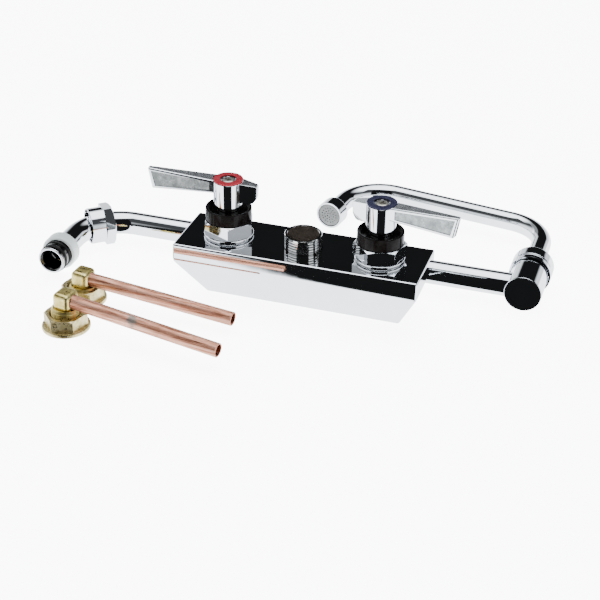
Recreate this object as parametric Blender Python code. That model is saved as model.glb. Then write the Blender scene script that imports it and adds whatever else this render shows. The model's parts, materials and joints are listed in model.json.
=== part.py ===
"""Four-inch splash-mount faucet kit: two-valve body, jointed swing spout and two supply inlets.

The kit is laid out as it is supplied. The body stands on its base, and the spout lies flat behind it.
The two supply inlets stand on their flange nuts in front of the body's left end.
+X runs along the body, +Y to the wall side and +Z up. The origin is midway between the two
valve axes, on the plane that everything stands on. All sizes below are in millimetres.
"""
import math

import bmesh
import bpy
from mathutils import Matrix, Vector

MM = 0.001            # metres in a millimetre
GAP = 0.3             # air between two pieces that touch
FLOOR = 0.0

# Body casting
VALVE_SPACING = 101.6
BODY_LENGTH = 162.2
BODY_DEPTH = 49.0
BODY_HEIGHT = 43.6
BAND_HEIGHT = 12.0    # upright band under the top face
BASE_LENGTH = 132.0
BASE_FRONT_Y = -2.9   # the front face slants back from the band to here
EDGE_ROUND = 1.1
WALL_Y = BODY_DEPTH / 2
VALVE_X = VALVE_SPACING / 2

# Outlet nipple, heights from the body's top face
NIPPLE_R = 12.2
NIPPLE_BORE_R = NIPPLE_R - 1.9
NIPPLE_STOP_R = NIPPLE_R - 3.6
NIPPLE_TOP = 10.0
NIPPLE_FOOT = 16.1             # how far its foot is below the top face
NIPPLE_PITCH = 2.2
NIPPLE_THREAD_DEPTH = 0.6

# Waterways, heights above the floor
VALVE_CHAMBER_R = 10.8
VALVE_DEPTH = 22.6             # the chamber's floor below the top face
VALVE_FLOOR_Z = BODY_HEIGHT - VALVE_DEPTH
SEAT_HOLE_R = 4.0
INLET_Z = 13.0
INLET_SOCKET_R = 9.6
INLET_SOCKET_DEPTH = 12.0
INLET_WAY_R = 4.5
OUTLET_SOCKET_R = NIPPLE_R + GAP
OUTLET_SOCKET_DEPTH = NIPPLE_FOOT + GAP
OUTLET_CHAMBER_R = NIPPLE_STOP_R + 0.4
OUTLET_CHAMBER_Z = BODY_HEIGHT - 25.1
CROSS_WAY_R = 3.5
CROSS_WAY_Z = VALVE_FLOOR_Z + CROSS_WAY_R + 0.2

# Valve stack, heights from the body's top face
WASHER_R = 16.2
BONNET_FLATS = 30.0
BONNET_Z = (3.2, 12.5)
BONNET_FOOT = -9.0
SKIRT_R = VALVE_CHAMBER_R - GAP
CARTRIDGE_R = SKIRT_R - 2.6
STEM_R = 3.9
STEM_RING_Z = 4.0
NECK_R = STEM_R + 2.7
NECK_TOP = 21.6
DISC_CHAMBER_R = CARTRIDGE_R - 1.5
DISC_CHAMBER_Z = (2.6 - VALVE_DEPTH, -9.5)
DISC_R = DISC_CHAMBER_R - GAP
FIXED_DISC_Z = (DISC_CHAMBER_Z[0] + GAP, DISC_CHAMBER_Z[0] + GAP + 2.4)
MOVING_DISC_Z = (FIXED_DISC_Z[1] + GAP, FIXED_DISC_Z[1] + GAP + 2.6)
DRIVE_SLOT_Z = MOVING_DISC_Z[1] - 1.1
DRIVE_SLOT_HALF = (4.9, 1.3)   # half length and half width
TRIM_R = 15.0
TRIM_Z = (BONNET_Z[1] + GAP, 20.9)

# Lever handle, heights from the body's top face, lengths from the stem's axis
HUB_R = 9.7
HUB_Z = (22.5, 39.6)
STEM_SOCKET_TOP = 35.5
SCREW_POCKET_R = 5.0
SCREW_POCKET_Z = 37.2
SCREW_HOLE_R = 1.9
BLADE_TIP = 53.0
BLADE_TIP_LOW = 50.3
BLADE_LOW_Z = (31.7, 29.3)     # underside at the hub and at the tip
BLADE_TOP_Z = (40.3, 43.6)     # top at the hub and at the tip
BLADE_HALF = (5.6, 2.2)        # half width at the hub and at the tip
BLADE_ROOT = 6.0
PANEL_FRAME = 1.7              # plain border round the sunk side panel
PANEL_DEPTH = 0.5
FIN_TIP = 19.5
HOT_ANGLE = 186.2              # where each lever points, turned from +X about +Z
COLD_ANGLE = -12.3
HOT_BONNET_SPIN = -12.65       # a hexagon's corner, turned from +X about +Z
COLD_BONNET_SPIN = 17.0

# Spout, lying with all its centrelines at one height
ARM1_R = 8.0
ARM1_BORE_R = ARM1_R - 1.2
ARM1_Y = 46.9
ARM1_BEND_X = -138.5
ARM1_BEND_R = 32.0
ARM1_END_Y = -8.1
TAIL_MOUTH_Y = -21.9
TAIL_R = ARM1_R + 1.35
TAIL_BORE_R = ARM1_R - 1.0
TAIL_MOUTH_R = TAIL_BORE_R + 1.0
TAIL_GROOVE_R = ARM1_R
TAIL_GROOVE_HALF = 1.6         # half the width of a ring groove
TAIL_RING_R = TAIL_R + 0.6
TAIL_GROOVES = (4.0, 9.6)      # ring centres from the mouth
BUSHING_R = ARM1_R + 4.0
BUSHING_LENGTH = 8.3
TAIL_NUT_R = ARM1_R + 4.6      # its round end
TAIL_NUT_BORE_R = TAIL_NUT_R - 1.0
TAIL_NUT_FLATS = 2 * TAIL_NUT_R + 0.8
TAIL_NUT_TURN = 40.0           # how far round the bend the loose nut has slid, degrees
TAIL_NUT_ROLL = 8.0            # how far its lowest flat is from level, degrees

# Elbow joint, heights from its closed face
JOINT_X = 138.2
JOINT_BORE_R = ARM1_R + 1.8
JOINT_R = JOINT_BORE_R + 2.5
JOINT_NUT_R = JOINT_R + 1.7
JOINT_SIDE = ARM1_R + 2.0      # up to arm 1's axis
STUB_FOOT = JOINT_SIDE + ARM1_R + 3.5
JOINT_TOP = STUB_FOOT + 9.5
JOINT_NUT_Z = (JOINT_TOP - 4.0, JOINT_TOP + 12.0)
STUB_TOP = JOINT_NUT_Z[1] + 3.0
JOINT_FACE_Y = ARM1_Y - JOINT_SIDE
SPOUT_Z = JOINT_NUT_R          # the joint's nut is the widest piece, and lies on the floor

# Arm 2, which turns in the joint, and its aerator
ARM2_R = 6.75
ARM2_BORE_R = ARM2_R - 1.15
ARM2_BEND_R = 30.0
ARM2_TURN = 9.35               # how far the long run of arm 2 leans from -X towards +Y, degrees
ARM2_CORNER_Y = 133.2
ARM2_RUN = 144.5               # corner to corner
ARM2_DROP = 54.2               # last corner to the aerator's face
STUB_NECK_R = ARM2_R + 1.95
STUB_SOCKET = 7.8              # how deep arm 2 sits in the stub
AERATOR_R = ARM2_R + 3.15
AERATOR_LENGTH = 11.5
AERATOR_SEAT = 5.6             # from its face to the end of the tube
AERATOR_HOLES = 8

# Supply inlets: flange nut, brass elbow and copper tube
FLANGE_R = 15.6
FLANGE_THICKNESS = 2.4
FLANGE_NUT_FLATS = 24.6
FLANGE_NUT_HEIGHT = 10.6
FLANGE_NUT_SPIN = 14.0
SHANK_R = 9.1
SHANK_BORE_R = 6.2
SHANK_HALF = 5.0
FLANGE_NUT_BORE_R = SHANK_R + 0.9
SUPPLY_TUBE_R = 4.6
SUPPLY_TUBE_BORE_R = SUPPLY_TUBE_R - 0.9
ELBOW_X = (-5.8, 6.4)
ELBOW_HALF_WIDTH = SUPPLY_TUBE_R + 2.2
ELBOW_HEIGHT = 2 * SUPPLY_TUBE_R + 2.3
ELBOW_WAY_Z = SHANK_HALF + SUPPLY_TUBE_R + 0.9     # the tube's axis above the middle of the shank
ELBOW_SOCKET = 5.7             # how deep the tube sits in the elbow
SUPPLIES = {
    # name: nut centre, middle of the shank above the floor, heading, droop, reach of the tube
    "front": ((-134.8, -74.4), 9.8, -8.4, 3.2, 110.8),
    "rear": ((-139.5, -39.0), FLANGE_NUT_HEIGHT - SHANK_HALF + GAP, -3.9, 3.6, 107.8),
}

# How finely round shapes are drawn
SIDES = 20
FINE_SIDES = 24
SMALL_SIDES = 12
PIPE_SIDES = 16
BEND_STEP = 13.5               # degrees of bend between two pipe stations

CHROME = ((0.80, 0.81, 0.82), 1.0, 0.06)
BRASS = ((0.72, 0.58, 0.30), 1.0, 0.30)
COPPER = ((0.85, 0.50, 0.36), 1.0, 0.28)
BLACK_PLASTIC = ((0.015, 0.015, 0.017), 0.0, 0.18)
NITRILE = ((0.02, 0.02, 0.02), 0.0, 0.55)
NYLON = ((0.86, 0.88, 0.88), 0.0, 0.40)
CERAMIC = ((0.90, 0.89, 0.86), 0.0, 0.15)
STEEL = ((0.62, 0.61, 0.58), 1.0, 0.25)
RED = ((0.60, 0.05, 0.08), 0.0, 0.30)
BLUE = ((0.05, 0.07, 0.28), 0.0, 0.30)
GREY_PLASTIC = ((0.38, 0.40, 0.39), 0.0, 0.50)


# ---------------------------------------------------------------- building blocks

def clear_scene():
    for item in list(bpy.data.objects):
        bpy.data.objects.remove(item, do_unlink=True)


def add_frame(name, place=(0, 0, 0), up=(0, 0, 1), heading=0.0, parent=None):
    """Adds an empty whose +Z points along `up`, then turned by `heading` degrees about it."""
    empty = bpy.data.objects.new(name, None)
    bpy.context.collection.objects.link(empty)
    turn = Vector((0, 0, 1)).rotation_difference(Vector(up)).to_matrix().to_4x4()
    spin = Matrix.Rotation(math.radians(heading), 4, "Z")
    empty.parent = parent
    empty.matrix_local = Matrix.Translation(Vector(place) * MM) @ turn @ spin
    empty.empty_display_size = 5 * MM
    bpy.context.view_layer.update()
    return empty


def add_material(name, look):
    colour, metallic, roughness = look
    material = bpy.data.materials.new(name)
    material.use_nodes = True
    surface = material.node_tree.nodes["Principled BSDF"]
    surface.inputs["Base Color"].default_value = (*colour, 1.0)
    surface.inputs["Metallic"].default_value = metallic
    surface.inputs["Roughness"].default_value = roughness
    return material


def add_piece(name, shape, parent, look=None):
    """Turns a bmesh drawn in millimetres into a named object in metres."""
    bmesh.ops.recalc_face_normals(shape, faces=shape.faces)
    bmesh.ops.scale(shape, vec=(MM, MM, MM), verts=shape.verts)
    mesh = bpy.data.meshes.new(name)
    shape.to_mesh(mesh)
    shape.free()
    piece = bpy.data.objects.new(name, mesh)
    bpy.context.collection.objects.link(piece)
    piece.parent = parent
    if look:
        mesh.materials.append(add_material(name, look))
    return piece


def smooth(piece):
    piece.data.shade_smooth()
    piece.data.set_sharp_from_angle(angle=math.radians(35))
    return piece


def combine(piece, tool_shape, operation="DIFFERENCE"):
    """Cuts, joins or intersects the piece with a shape drawn in the same frame."""
    tool = add_piece("tool", tool_shape, piece.parent)
    step = piece.modifiers.new("step", "BOOLEAN")
    step.operation = operation
    step.solver = "EXACT"
    step.object = tool
    bpy.context.view_layer.update()
    graph = bpy.context.evaluated_depsgraph_get()
    result = bpy.data.meshes.new_from_object(piece.evaluated_get(graph))
    result.name = piece.name
    piece.modifiers.clear()
    piece.data = result
    bpy.data.objects.remove(tool, do_unlink=True)
    return piece


def turned(profile, sides=SIDES):
    """Spins (radius, height) points about Z; a profile that starts on the axis closes there."""
    shape = bmesh.new()
    points = [shape.verts.new((radius, 0, height)) for radius, height in profile]
    edges = [shape.edges.new(pair) for pair in zip(points, points[1:])]
    if profile[0][0] > 0:
        edges.append(shape.edges.new((points[-1], points[0])))
    bmesh.ops.spin(shape, geom=points + edges, axis=(0, 0, 1), cent=(0, 0, 0),
                   angle=math.tau, steps=sides, use_merge=True)
    bmesh.ops.remove_doubles(shape, verts=shape.verts, dist=0.001)
    middles = [vert for vert in shape.verts if vert.co.xy.length < 0.001]
    bmesh.ops.dissolve_verts(shape, verts=middles)
    return shape


def ring(inner, outer, low, high, chamfer=0.0, sides=SIDES):
    """A washer or sleeve, with the outer edges chamfered."""
    return turned(ring_profile(inner, outer, low, high, chamfer), sides)


def ring_profile(inner, outer, low, high, chamfer=0.0):
    if not chamfer:
        return [(inner, low), (outer, low), (outer, high), (inner, high)]
    return [(inner, low), (outer - chamfer, low), (outer, low + chamfer),
            (outer, high - chamfer), (outer - chamfer, high), (inner, high)]


def rod(radius, start, end, sides=SMALL_SIDES):
    """A plain cylinder between two points."""
    start, end = Vector(start), Vector(end)
    length = (end - start).length
    shape = turned([(0, 0), (radius, 0), (radius, length), (0, length)], sides)
    aim = Vector((0, 0, 1)).rotation_difference(end - start).to_matrix().to_4x4()
    bmesh.ops.transform(shape, matrix=Matrix.Translation(start) @ aim, verts=shape.verts)
    return shape


def block(low, high, round_by=0.0):
    """A box between two corners, with its edges bevelled."""
    shape = bmesh.new()
    low, high = Vector(low), Vector(high)
    size = Matrix.Diagonal((*(high - low), 1))
    bmesh.ops.create_cube(shape, size=1, matrix=Matrix.Translation((low + high) / 2) @ size)
    if round_by:
        bmesh.ops.bevel(shape, geom=shape.edges[:], offset=round_by, segments=2,
                        profile=0.5, affect="EDGES")
    return shape


def hexagon_sleeve(flats, low, high, spin):
    """A thick sleeve round a hexagonal hole, for cutting flats on a turned nut."""
    shape = bmesh.new()
    turns = [math.tau * step / 6 + math.radians(spin) for step in range(6)]
    corner = flats / math.sqrt(3)

    def rim(radius, height):
        return [shape.verts.new((radius * math.cos(turn), radius * math.sin(turn), height))
                for turn in turns]

    loops = [rim(corner, low), rim(corner, high), rim(2 * corner, high), rim(2 * corner, low)]
    join_loops(shape, loops, closed=True)
    return shape


def join_loops(shape, loops, closed):
    """Skins a row of equal vertex loops, capping both ends unless the row closes on itself."""
    pairs = list(zip(loops, loops[1:]))
    if closed:
        pairs.append((loops[-1], loops[0]))
    else:
        shape.faces.new(loops[0])
        shape.faces.new(loops[-1])
    for one, two in pairs:
        for index in range(len(one)):
            after = (index + 1) % len(one)
            shape.faces.new((one[index], one[after], two[after], two[index]))


def bent_pipe(path, outer, bore, sides=PIPE_SIDES):
    """A pipe along (point, direction) stations that lie in one level plane, open at both ends."""
    shape = bmesh.new()

    def rims(radius, order):
        loops = []
        for point, direction in order:
            across = Vector((-direction.y, direction.x, 0)).normalized()
            loops.append([shape.verts.new(point + radius * (across * math.cos(turn)
                                                            + Vector((0, 0, math.sin(turn)))))
                          for turn in (math.tau * step / sides for step in range(sides))])
        return loops

    join_loops(shape, rims(outer, path) + rims(bore, path[::-1]), closed=True)
    return shape


def bend_path(corners, bend_radius, step_degrees=BEND_STEP):
    """Stations along straight runs whose corners are rounded to one bend radius."""
    corners = [Vector(corner) for corner in corners]
    stations = [(corners[0], (corners[1] - corners[0]).normalized())]
    for before, corner, after in zip(corners, corners[1:], corners[2:]):
        arrive = (corner - before).normalized()
        leave = (after - corner).normalized()
        turn = arrive.angle(leave)
        side = 1 if arrive.cross(leave).z > 0 else -1
        inward = Vector((-arrive.y, arrive.x, 0)) * side
        centre = corner - arrive * bend_radius * math.tan(turn / 2) + inward * bend_radius
        steps = math.ceil(math.degrees(turn) / step_degrees)
        for step in range(steps + 1):
            swing = Matrix.Rotation(side * turn * step / steps, 3, "Z")
            stations.append((centre - swing @ inward * bend_radius, swing @ arrive))
    stations.append((corners[-1], (corners[-1] - corners[-2]).normalized()))
    return stations


def tapered_slab(outline, half_width):
    """A flat-sided slab from a side view (x, z); half_width(x) gives its taper."""
    shape = bmesh.new()
    sides = [[shape.verts.new((x, sign * half_width(x), z)) for x, z in outline]
             for sign in (-1, 1)]
    join_loops(shape, sides, closed=False)
    return shape


def thread_profile(radius, low, high, pitch, depth):
    """Outer (radius, height) points of a ridged thread, from low to high."""
    turns = max(1, int((high - low) / pitch))
    points = []
    for turn in range(turns):
        start = low + (high - low) * turn / turns
        span = (high - low) / turns
        points += [(radius - depth, start + 0.1 * span), (radius, start + 0.45 * span),
                   (radius, start + 0.65 * span)]
    points.append((radius - depth, high))
    return points


def rounded_ring(middle, half_thick, half_high, height, sides=SIDES, section=6):
    """An O-ring: an oval section spun at its middle radius."""
    profile = [(middle + half_thick * math.cos(turn), height + half_high * math.sin(turn))
               for turn in (math.tau * step / section for step in range(section))]
    return turned(profile, sides)


# ---------------------------------------------------------------- body

def make_body():
    shape = bmesh.new()
    band_z = BODY_HEIGHT - BAND_HEIGHT
    for half_length, front, height in ((BASE_LENGTH / 2, BASE_FRONT_Y, FLOOR),
                                       (BODY_LENGTH / 2, -WALL_Y, band_z),
                                       (BODY_LENGTH / 2, -WALL_Y, BODY_HEIGHT)):
        for x in (-half_length, half_length):
            for y in (front, WALL_Y):
                shape.verts.new((x, y, height))
    bmesh.ops.convex_hull(shape, input=shape.verts)
    bmesh.ops.dissolve_limit(shape, angle_limit=math.radians(1), verts=shape.verts, edges=shape.edges)
    bmesh.ops.bevel(shape, geom=shape.edges[:], offset=EDGE_ROUND, segments=2, profile=0.5,
                    affect="EDGES")
    casting = add_piece("body_casting", shape, None, CHROME)
    above = BODY_HEIGHT + 1
    for side in (-1, 1):
        x = side * VALVE_X
        combine(casting, rod(VALVE_CHAMBER_R, (x, 0, VALVE_FLOOR_Z), (x, 0, above), SIDES))
        combine(casting, rod(SEAT_HOLE_R, (x, 0, INLET_Z), (x, 0, VALVE_FLOOR_Z + 1)))
        combine(casting, rod(INLET_WAY_R, (x, -INLET_WAY_R - 1, INLET_Z), (x, WALL_Y - 1, INLET_Z)))
        combine(casting, rod(INLET_SOCKET_R, (x, WALL_Y - INLET_SOCKET_DEPTH, INLET_Z),
                             (x, WALL_Y + 1, INLET_Z), SIDES))
    combine(casting, rod(OUTLET_CHAMBER_R, (0, 0, OUTLET_CHAMBER_Z), (0, 0, above), SIDES))
    combine(casting, rod(OUTLET_SOCKET_R, (0, 0, BODY_HEIGHT - OUTLET_SOCKET_DEPTH),
                         (0, 0, above), SIDES))
    combine(casting, rod(CROSS_WAY_R, (-VALVE_X + VALVE_CHAMBER_R / 2, 0, CROSS_WAY_Z),
                         (VALVE_X - VALVE_CHAMBER_R / 2, 0, CROSS_WAY_Z)))
    smooth(casting)

    socket = add_frame("outlet_axis", (0, 0, BODY_HEIGHT))
    low = -NIPPLE_FOOT
    threads = thread_profile(NIPPLE_R, 1.2, NIPPLE_TOP - 1.4, NIPPLE_PITCH, NIPPLE_THREAD_DEPTH)
    outline = [(NIPPLE_STOP_R, low), (NIPPLE_R, low), (NIPPLE_R, 1.0)] + threads
    outline += [(NIPPLE_R, NIPPLE_TOP - 1.0), (NIPPLE_R, NIPPLE_TOP - 0.4),
                (NIPPLE_R - 0.4, NIPPLE_TOP), (NIPPLE_BORE_R, NIPPLE_TOP),
                (NIPPLE_BORE_R, low + 1.4), (NIPPLE_STOP_R, low + 1.4)]
    smooth(add_piece("outlet_nipple", turned(outline), socket, CHROME))


# ---------------------------------------------------------------- valves

def make_nut(name, flats, low, high, profile, parent, look, spin=0.0):
    """A turned profile, cut to a hexagon between two heights; spin 0 has a corner facing +X."""
    nut = add_piece(name, turned(profile), parent, look)
    return smooth(combine(nut, hexagon_sleeve(flats, low, high, spin)))


def make_valve(side, x, angle, index_look, hex_spin):
    fixed = add_frame(f"{side}_valve_axis", (x, 0, BODY_HEIGHT))
    turning = add_frame(f"{side}_handle_axis", (x, 0, BODY_HEIGHT), heading=angle)

    def named(piece):
        return f"{side}_{piece}"

    smooth(add_piece(named("valve_washer"), ring(SKIRT_R + 0.6, WASHER_R, GAP, BONNET_Z[0] - GAP, 0.5),
                     fixed, CHROME))
    make_bonnet(named("bonnet"), fixed, hex_spin)
    make_cartridge(named("cartridge"), fixed)
    seat_z = -(BODY_HEIGHT - VALVE_FLOOR_Z)
    smooth(add_piece(named("seat_seal"), ring(SEAT_HOLE_R + 0.4, CARTRIDGE_R - 0.3, seat_z + GAP,
                                              DISC_CHAMBER_Z[0] - GAP), fixed, NITRILE))
    make_disc(named("fixed_disc"), fixed, *FIXED_DISC_Z, 0.0)
    disc = make_disc(named("moving_disc"), turning, *MOVING_DISC_Z, 90.0)
    reach, half = DRIVE_SLOT_HALF
    combine(disc, block((-reach, -half, DRIVE_SLOT_Z), (reach, half, MOVING_DISC_Z[1] + 1)))
    make_stem(named("stem"), turning)
    smooth(add_piece(named("stem_ring"), rounded_ring(STEM_R - 0.28, 0.42, 0.8, STEM_RING_Z, SMALL_SIDES),
                     turning, NITRILE))
    dish = TRIM_Z[1] - 1.9
    trim = [(NECK_R + GAP, TRIM_Z[0]), (TRIM_R, TRIM_Z[0]), (TRIM_R, TRIM_Z[1] - 0.5),
            (TRIM_R - 0.5, TRIM_Z[1]), (TRIM_R - 1.6, TRIM_Z[1]), (TRIM_R - 2.2, dish),
            (NECK_R + GAP, dish)]
    smooth(add_piece(named("trim_ring"), turned(trim), fixed, BLACK_PLASTIC))
    make_lever(named("lever"), turning)
    smooth(add_piece(named("index_ring"), ring(SCREW_POCKET_R + 0.3, HUB_R - 0.1, HUB_Z[1] + GAP,
                                               HUB_Z[1] + 1.0, 0.2), turning, index_look))
    make_screw(named("handle_screw"), turning)


def make_bonnet(name, parent, spin):
    corner = BONNET_FLATS / math.sqrt(3)
    low, high = BONNET_Z
    bevel = 1.5
    profile = [(CARTRIDGE_R + GAP, BONNET_FOOT), (SKIRT_R, BONNET_FOOT), (SKIRT_R, low),
               (corner - bevel, low), (corner, low + 1.0), (corner, high - 1.0), (corner - bevel, high),
               (NECK_R + GAP, high), (NECK_R + GAP, high - 2), (CARTRIDGE_R + GAP, high - 2)]
    make_nut(name, BONNET_FLATS, low - 1, high + 1, profile, parent, CHROME, spin)


def make_cartridge(name, parent):
    shoulder = BONNET_Z[1] - 2 - GAP
    low, chamber_top = DISC_CHAMBER_Z
    bore = STEM_R + GAP
    profile = [(DISC_CHAMBER_R, low), (CARTRIDGE_R, low), (CARTRIDGE_R, shoulder), (NECK_R, shoulder),
               (NECK_R, NECK_TOP), (bore, NECK_TOP), (bore, chamber_top), (DISC_CHAMBER_R, chamber_top)]
    cartridge = add_piece(name, turned(profile), parent, BRASS)
    window = Vector((CARTRIDGE_R + 1, 0, MOVING_DISC_Z[1]))
    smooth(combine(cartridge, rod(2.4, window, (-window.x, 0, window.z))))


def make_disc(name, parent, low, high, turn):
    """A ceramic disc with two ports."""
    disc = add_piece(name, turned([(0, low), (DISC_R, low), (DISC_R, high), (0, high)]),
                     parent, CERAMIC)
    for sign in (-1, 1):
        port = Matrix.Rotation(math.radians(turn), 3, "Z") @ Vector((sign * 3.4, 0, 0))
        combine(disc, rod(1.6, port + Vector((0, 0, low - 1)), port + Vector((0, 0, high + 1)), 10))
    return smooth(disc)


def make_stem(name, parent):
    foot = (MOVING_DISC_Z[1] + GAP, DISC_CHAMBER_Z[1] - GAP)
    groove = (STEM_RING_Z - 1.1, STEM_RING_Z + 1.1)
    groove_r = STEM_R - 0.9
    top = STEM_SOCKET_TOP - 1.0
    profile = [(0, foot[0]), (DISC_R, foot[0]), (DISC_R, foot[1]), (STEM_R, foot[1]),
               (STEM_R, groove[0]), (groove_r, groove[0]), (groove_r, groove[1]), (STEM_R, groove[1]),
               (STEM_R, top), (SCREW_HOLE_R, top), (SCREW_HOLE_R, top - 8), (0, top - 8)]
    stem = add_piece(name, turned(profile, SMALL_SIDES), parent, BRASS)
    reach, half = (size - GAP for size in DRIVE_SLOT_HALF)
    tongue = block((-reach, -half, DRIVE_SLOT_Z + GAP), (reach, half, foot[0] + 1))
    smooth(combine(stem, tongue, "UNION"))


def blade_half(x):
    """Half width of the lever's blade at a distance x from the stem."""
    part = (abs(x) - BLADE_ROOT) / (BLADE_TIP - BLADE_ROOT)
    return BLADE_HALF[0] + (BLADE_HALF[1] - BLADE_HALF[0]) * part


def fin_half(x):
    """Half width of the short counter-fin."""
    part = (abs(x) - BLADE_ROOT) / (FIN_TIP - BLADE_ROOT)
    return BLADE_HALF[0] + (2.6 - BLADE_HALF[0]) * part


def make_lever(name, parent):
    low, high = HUB_Z
    hub = [(STEM_R + GAP, low), (HUB_R - 0.6, low), (HUB_R, low + 0.6), (HUB_R, high),
           (SCREW_POCKET_R, high), (SCREW_POCKET_R, SCREW_POCKET_Z), (SCREW_HOLE_R, SCREW_POCKET_Z),
           (SCREW_HOLE_R, STEM_SOCKET_TOP), (STEM_R + GAP, STEM_SOCKET_TOP)]
    lever = add_piece(name, turned(hub, FINE_SIDES), parent, CHROME)
    blade = [(BLADE_ROOT, BLADE_LOW_Z[0]), (BLADE_TIP_LOW, BLADE_LOW_Z[1]),
             (BLADE_TIP, BLADE_TOP_Z[1]), (BLADE_ROOT, BLADE_TOP_Z[0])]
    slab = tapered_slab(blade, blade_half)
    bmesh.ops.bevel(slab, geom=slab.edges[:], offset=0.5, segments=1, affect="EDGES")
    combine(lever, slab, "UNION")
    fin = [(-BLADE_ROOT, 26.5), (-BLADE_ROOT, 39.9), (-FIN_TIP + 0.8, 37.6), (-FIN_TIP, 36.6),
           (-FIN_TIP + 0.4, 29.0), (-FIN_TIP + 2.6, 26.0), (-FIN_TIP + 4.2, 25.4)]
    combine(lever, tapered_slab(fin, fin_half), "UNION")
    combine(lever, rod(HUB_R + 0.2, (0, 0, high), (0, 0, high + 6), FINE_SIDES))
    start = HUB_R + PANEL_FRAME
    for sign in (-1, 1):
        combine(lever, panel_cutter(start, sign))
    smooth(lever)


def panel_cutter(start, sign):
    """The sunk panel in one side of the blade: an even border inside the blade's outline."""
    def edge(pair, x):
        return pair[0] + (pair[1] - pair[0]) * (x - BLADE_ROOT) / (BLADE_TIP - BLADE_ROOT)

    end_low, end_high = BLADE_TIP_LOW - PANEL_FRAME - 0.4, BLADE_TIP - PANEL_FRAME - 0.6
    outline = [(start, edge(BLADE_LOW_Z, start) + PANEL_FRAME),
               (end_low, edge(BLADE_LOW_Z, end_low) + PANEL_FRAME),
               (end_high, edge(BLADE_TOP_Z, end_high) - PANEL_FRAME),
               (start, edge(BLADE_TOP_Z, start) - PANEL_FRAME)]
    shape = bmesh.new()
    sides = [[shape.verts.new((x, sign * (blade_half(x) + offset), z)) for x, z in outline]
             for offset in (-PANEL_DEPTH, 2.0)]
    join_loops(shape, sides, closed=False)
    return shape


def make_screw(name, parent):
    head = (SCREW_POCKET_Z + GAP, HUB_Z[1] + 0.5)
    head_r = SCREW_POCKET_R - 0.9
    shank_r = SCREW_HOLE_R - GAP
    profile = [(0, head[0] - 9), (shank_r, head[0] - 9), (shank_r, head[0]), (head_r, head[0]),
               (head_r, head[1] - 0.8), (head_r - 0.8, head[1]), (0, head[1])]
    screw = add_piece(name, turned(profile, SMALL_SIDES), parent, STEEL)
    slot_half, slot_reach, slot_floor = 0.5, 2.3, head[1] - 1.1
    for reach_x, reach_y in ((slot_reach, slot_half), (slot_half, slot_reach)):
        combine(screw, block((-reach_x, -reach_y, slot_floor), (reach_x, reach_y, head[1] + 1)))
    smooth(screw)


# ---------------------------------------------------------------- spout

def make_arm1():
    """The long arm; its joint end is coped to the round wall of the joint's bore."""
    tail_x = ARM1_BEND_X - ARM1_BEND_R
    corners = [(JOINT_X - JOINT_BORE_R / 2, ARM1_Y, SPOUT_Z), (tail_x, ARM1_Y, SPOUT_Z),
               (tail_x, ARM1_END_Y, SPOUT_Z)]
    path = bend_path(corners, ARM1_BEND_R)
    arm = add_piece("arm1_tube", bent_pipe(path, ARM1_R, ARM1_BORE_R), None, CHROME)
    reach = 2 * ARM1_R
    smooth(combine(arm, rod(JOINT_BORE_R, (JOINT_X, ARM1_Y - reach, SPOUT_Z),
                            (JOINT_X, ARM1_Y + reach, SPOUT_Z), SIDES)))


def make_tail():
    """Plug-in tail of the spout, drawn from the mouth (height 0) back along the tube."""
    tail = add_frame("tail_axis", (ARM1_BEND_X - ARM1_BEND_R, TAIL_MOUTH_Y, SPOUT_Z), up=(0, 1, 0))
    socket = ARM1_END_Y - TAIL_MOUTH_Y - GAP
    length = socket + 6.5
    groove_half = TAIL_GROOVE_HALF
    profile = [(TAIL_BORE_R, 1.6), (TAIL_MOUTH_R, 1.0), (TAIL_MOUTH_R, 0), (TAIL_R - 0.4, 0), (TAIL_R, 0.5)]
    for middle in TAIL_GROOVES:
        profile += [(TAIL_R, middle - groove_half), (TAIL_GROOVE_R, middle - groove_half),
                    (TAIL_GROOVE_R, middle + groove_half), (TAIL_R, middle + groove_half)]
    profile += [(TAIL_R, length), (ARM1_R + GAP, length), (ARM1_R + GAP, socket), (TAIL_BORE_R, socket)]
    smooth(add_piece("tail_sleeve", turned(profile), tail, CHROME))
    half_thick = (TAIL_RING_R - TAIL_GROOVE_R - 0.1) / 2
    for name, middle in zip(("tail_ring_outer", "tail_ring_inner"), TAIL_GROOVES):
        shape = rounded_ring(TAIL_RING_R - half_thick, half_thick, groove_half - 0.25, middle)
        smooth(add_piece(name, shape, tail, NITRILE))
    stop = TAIL_GROOVES[1] + groove_half + 0.4
    smooth(add_piece("tail_bushing", ring(TAIL_R + GAP, BUSHING_R, stop, stop + BUSHING_LENGTH, 0.5),
                     tail, NYLON))


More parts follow.
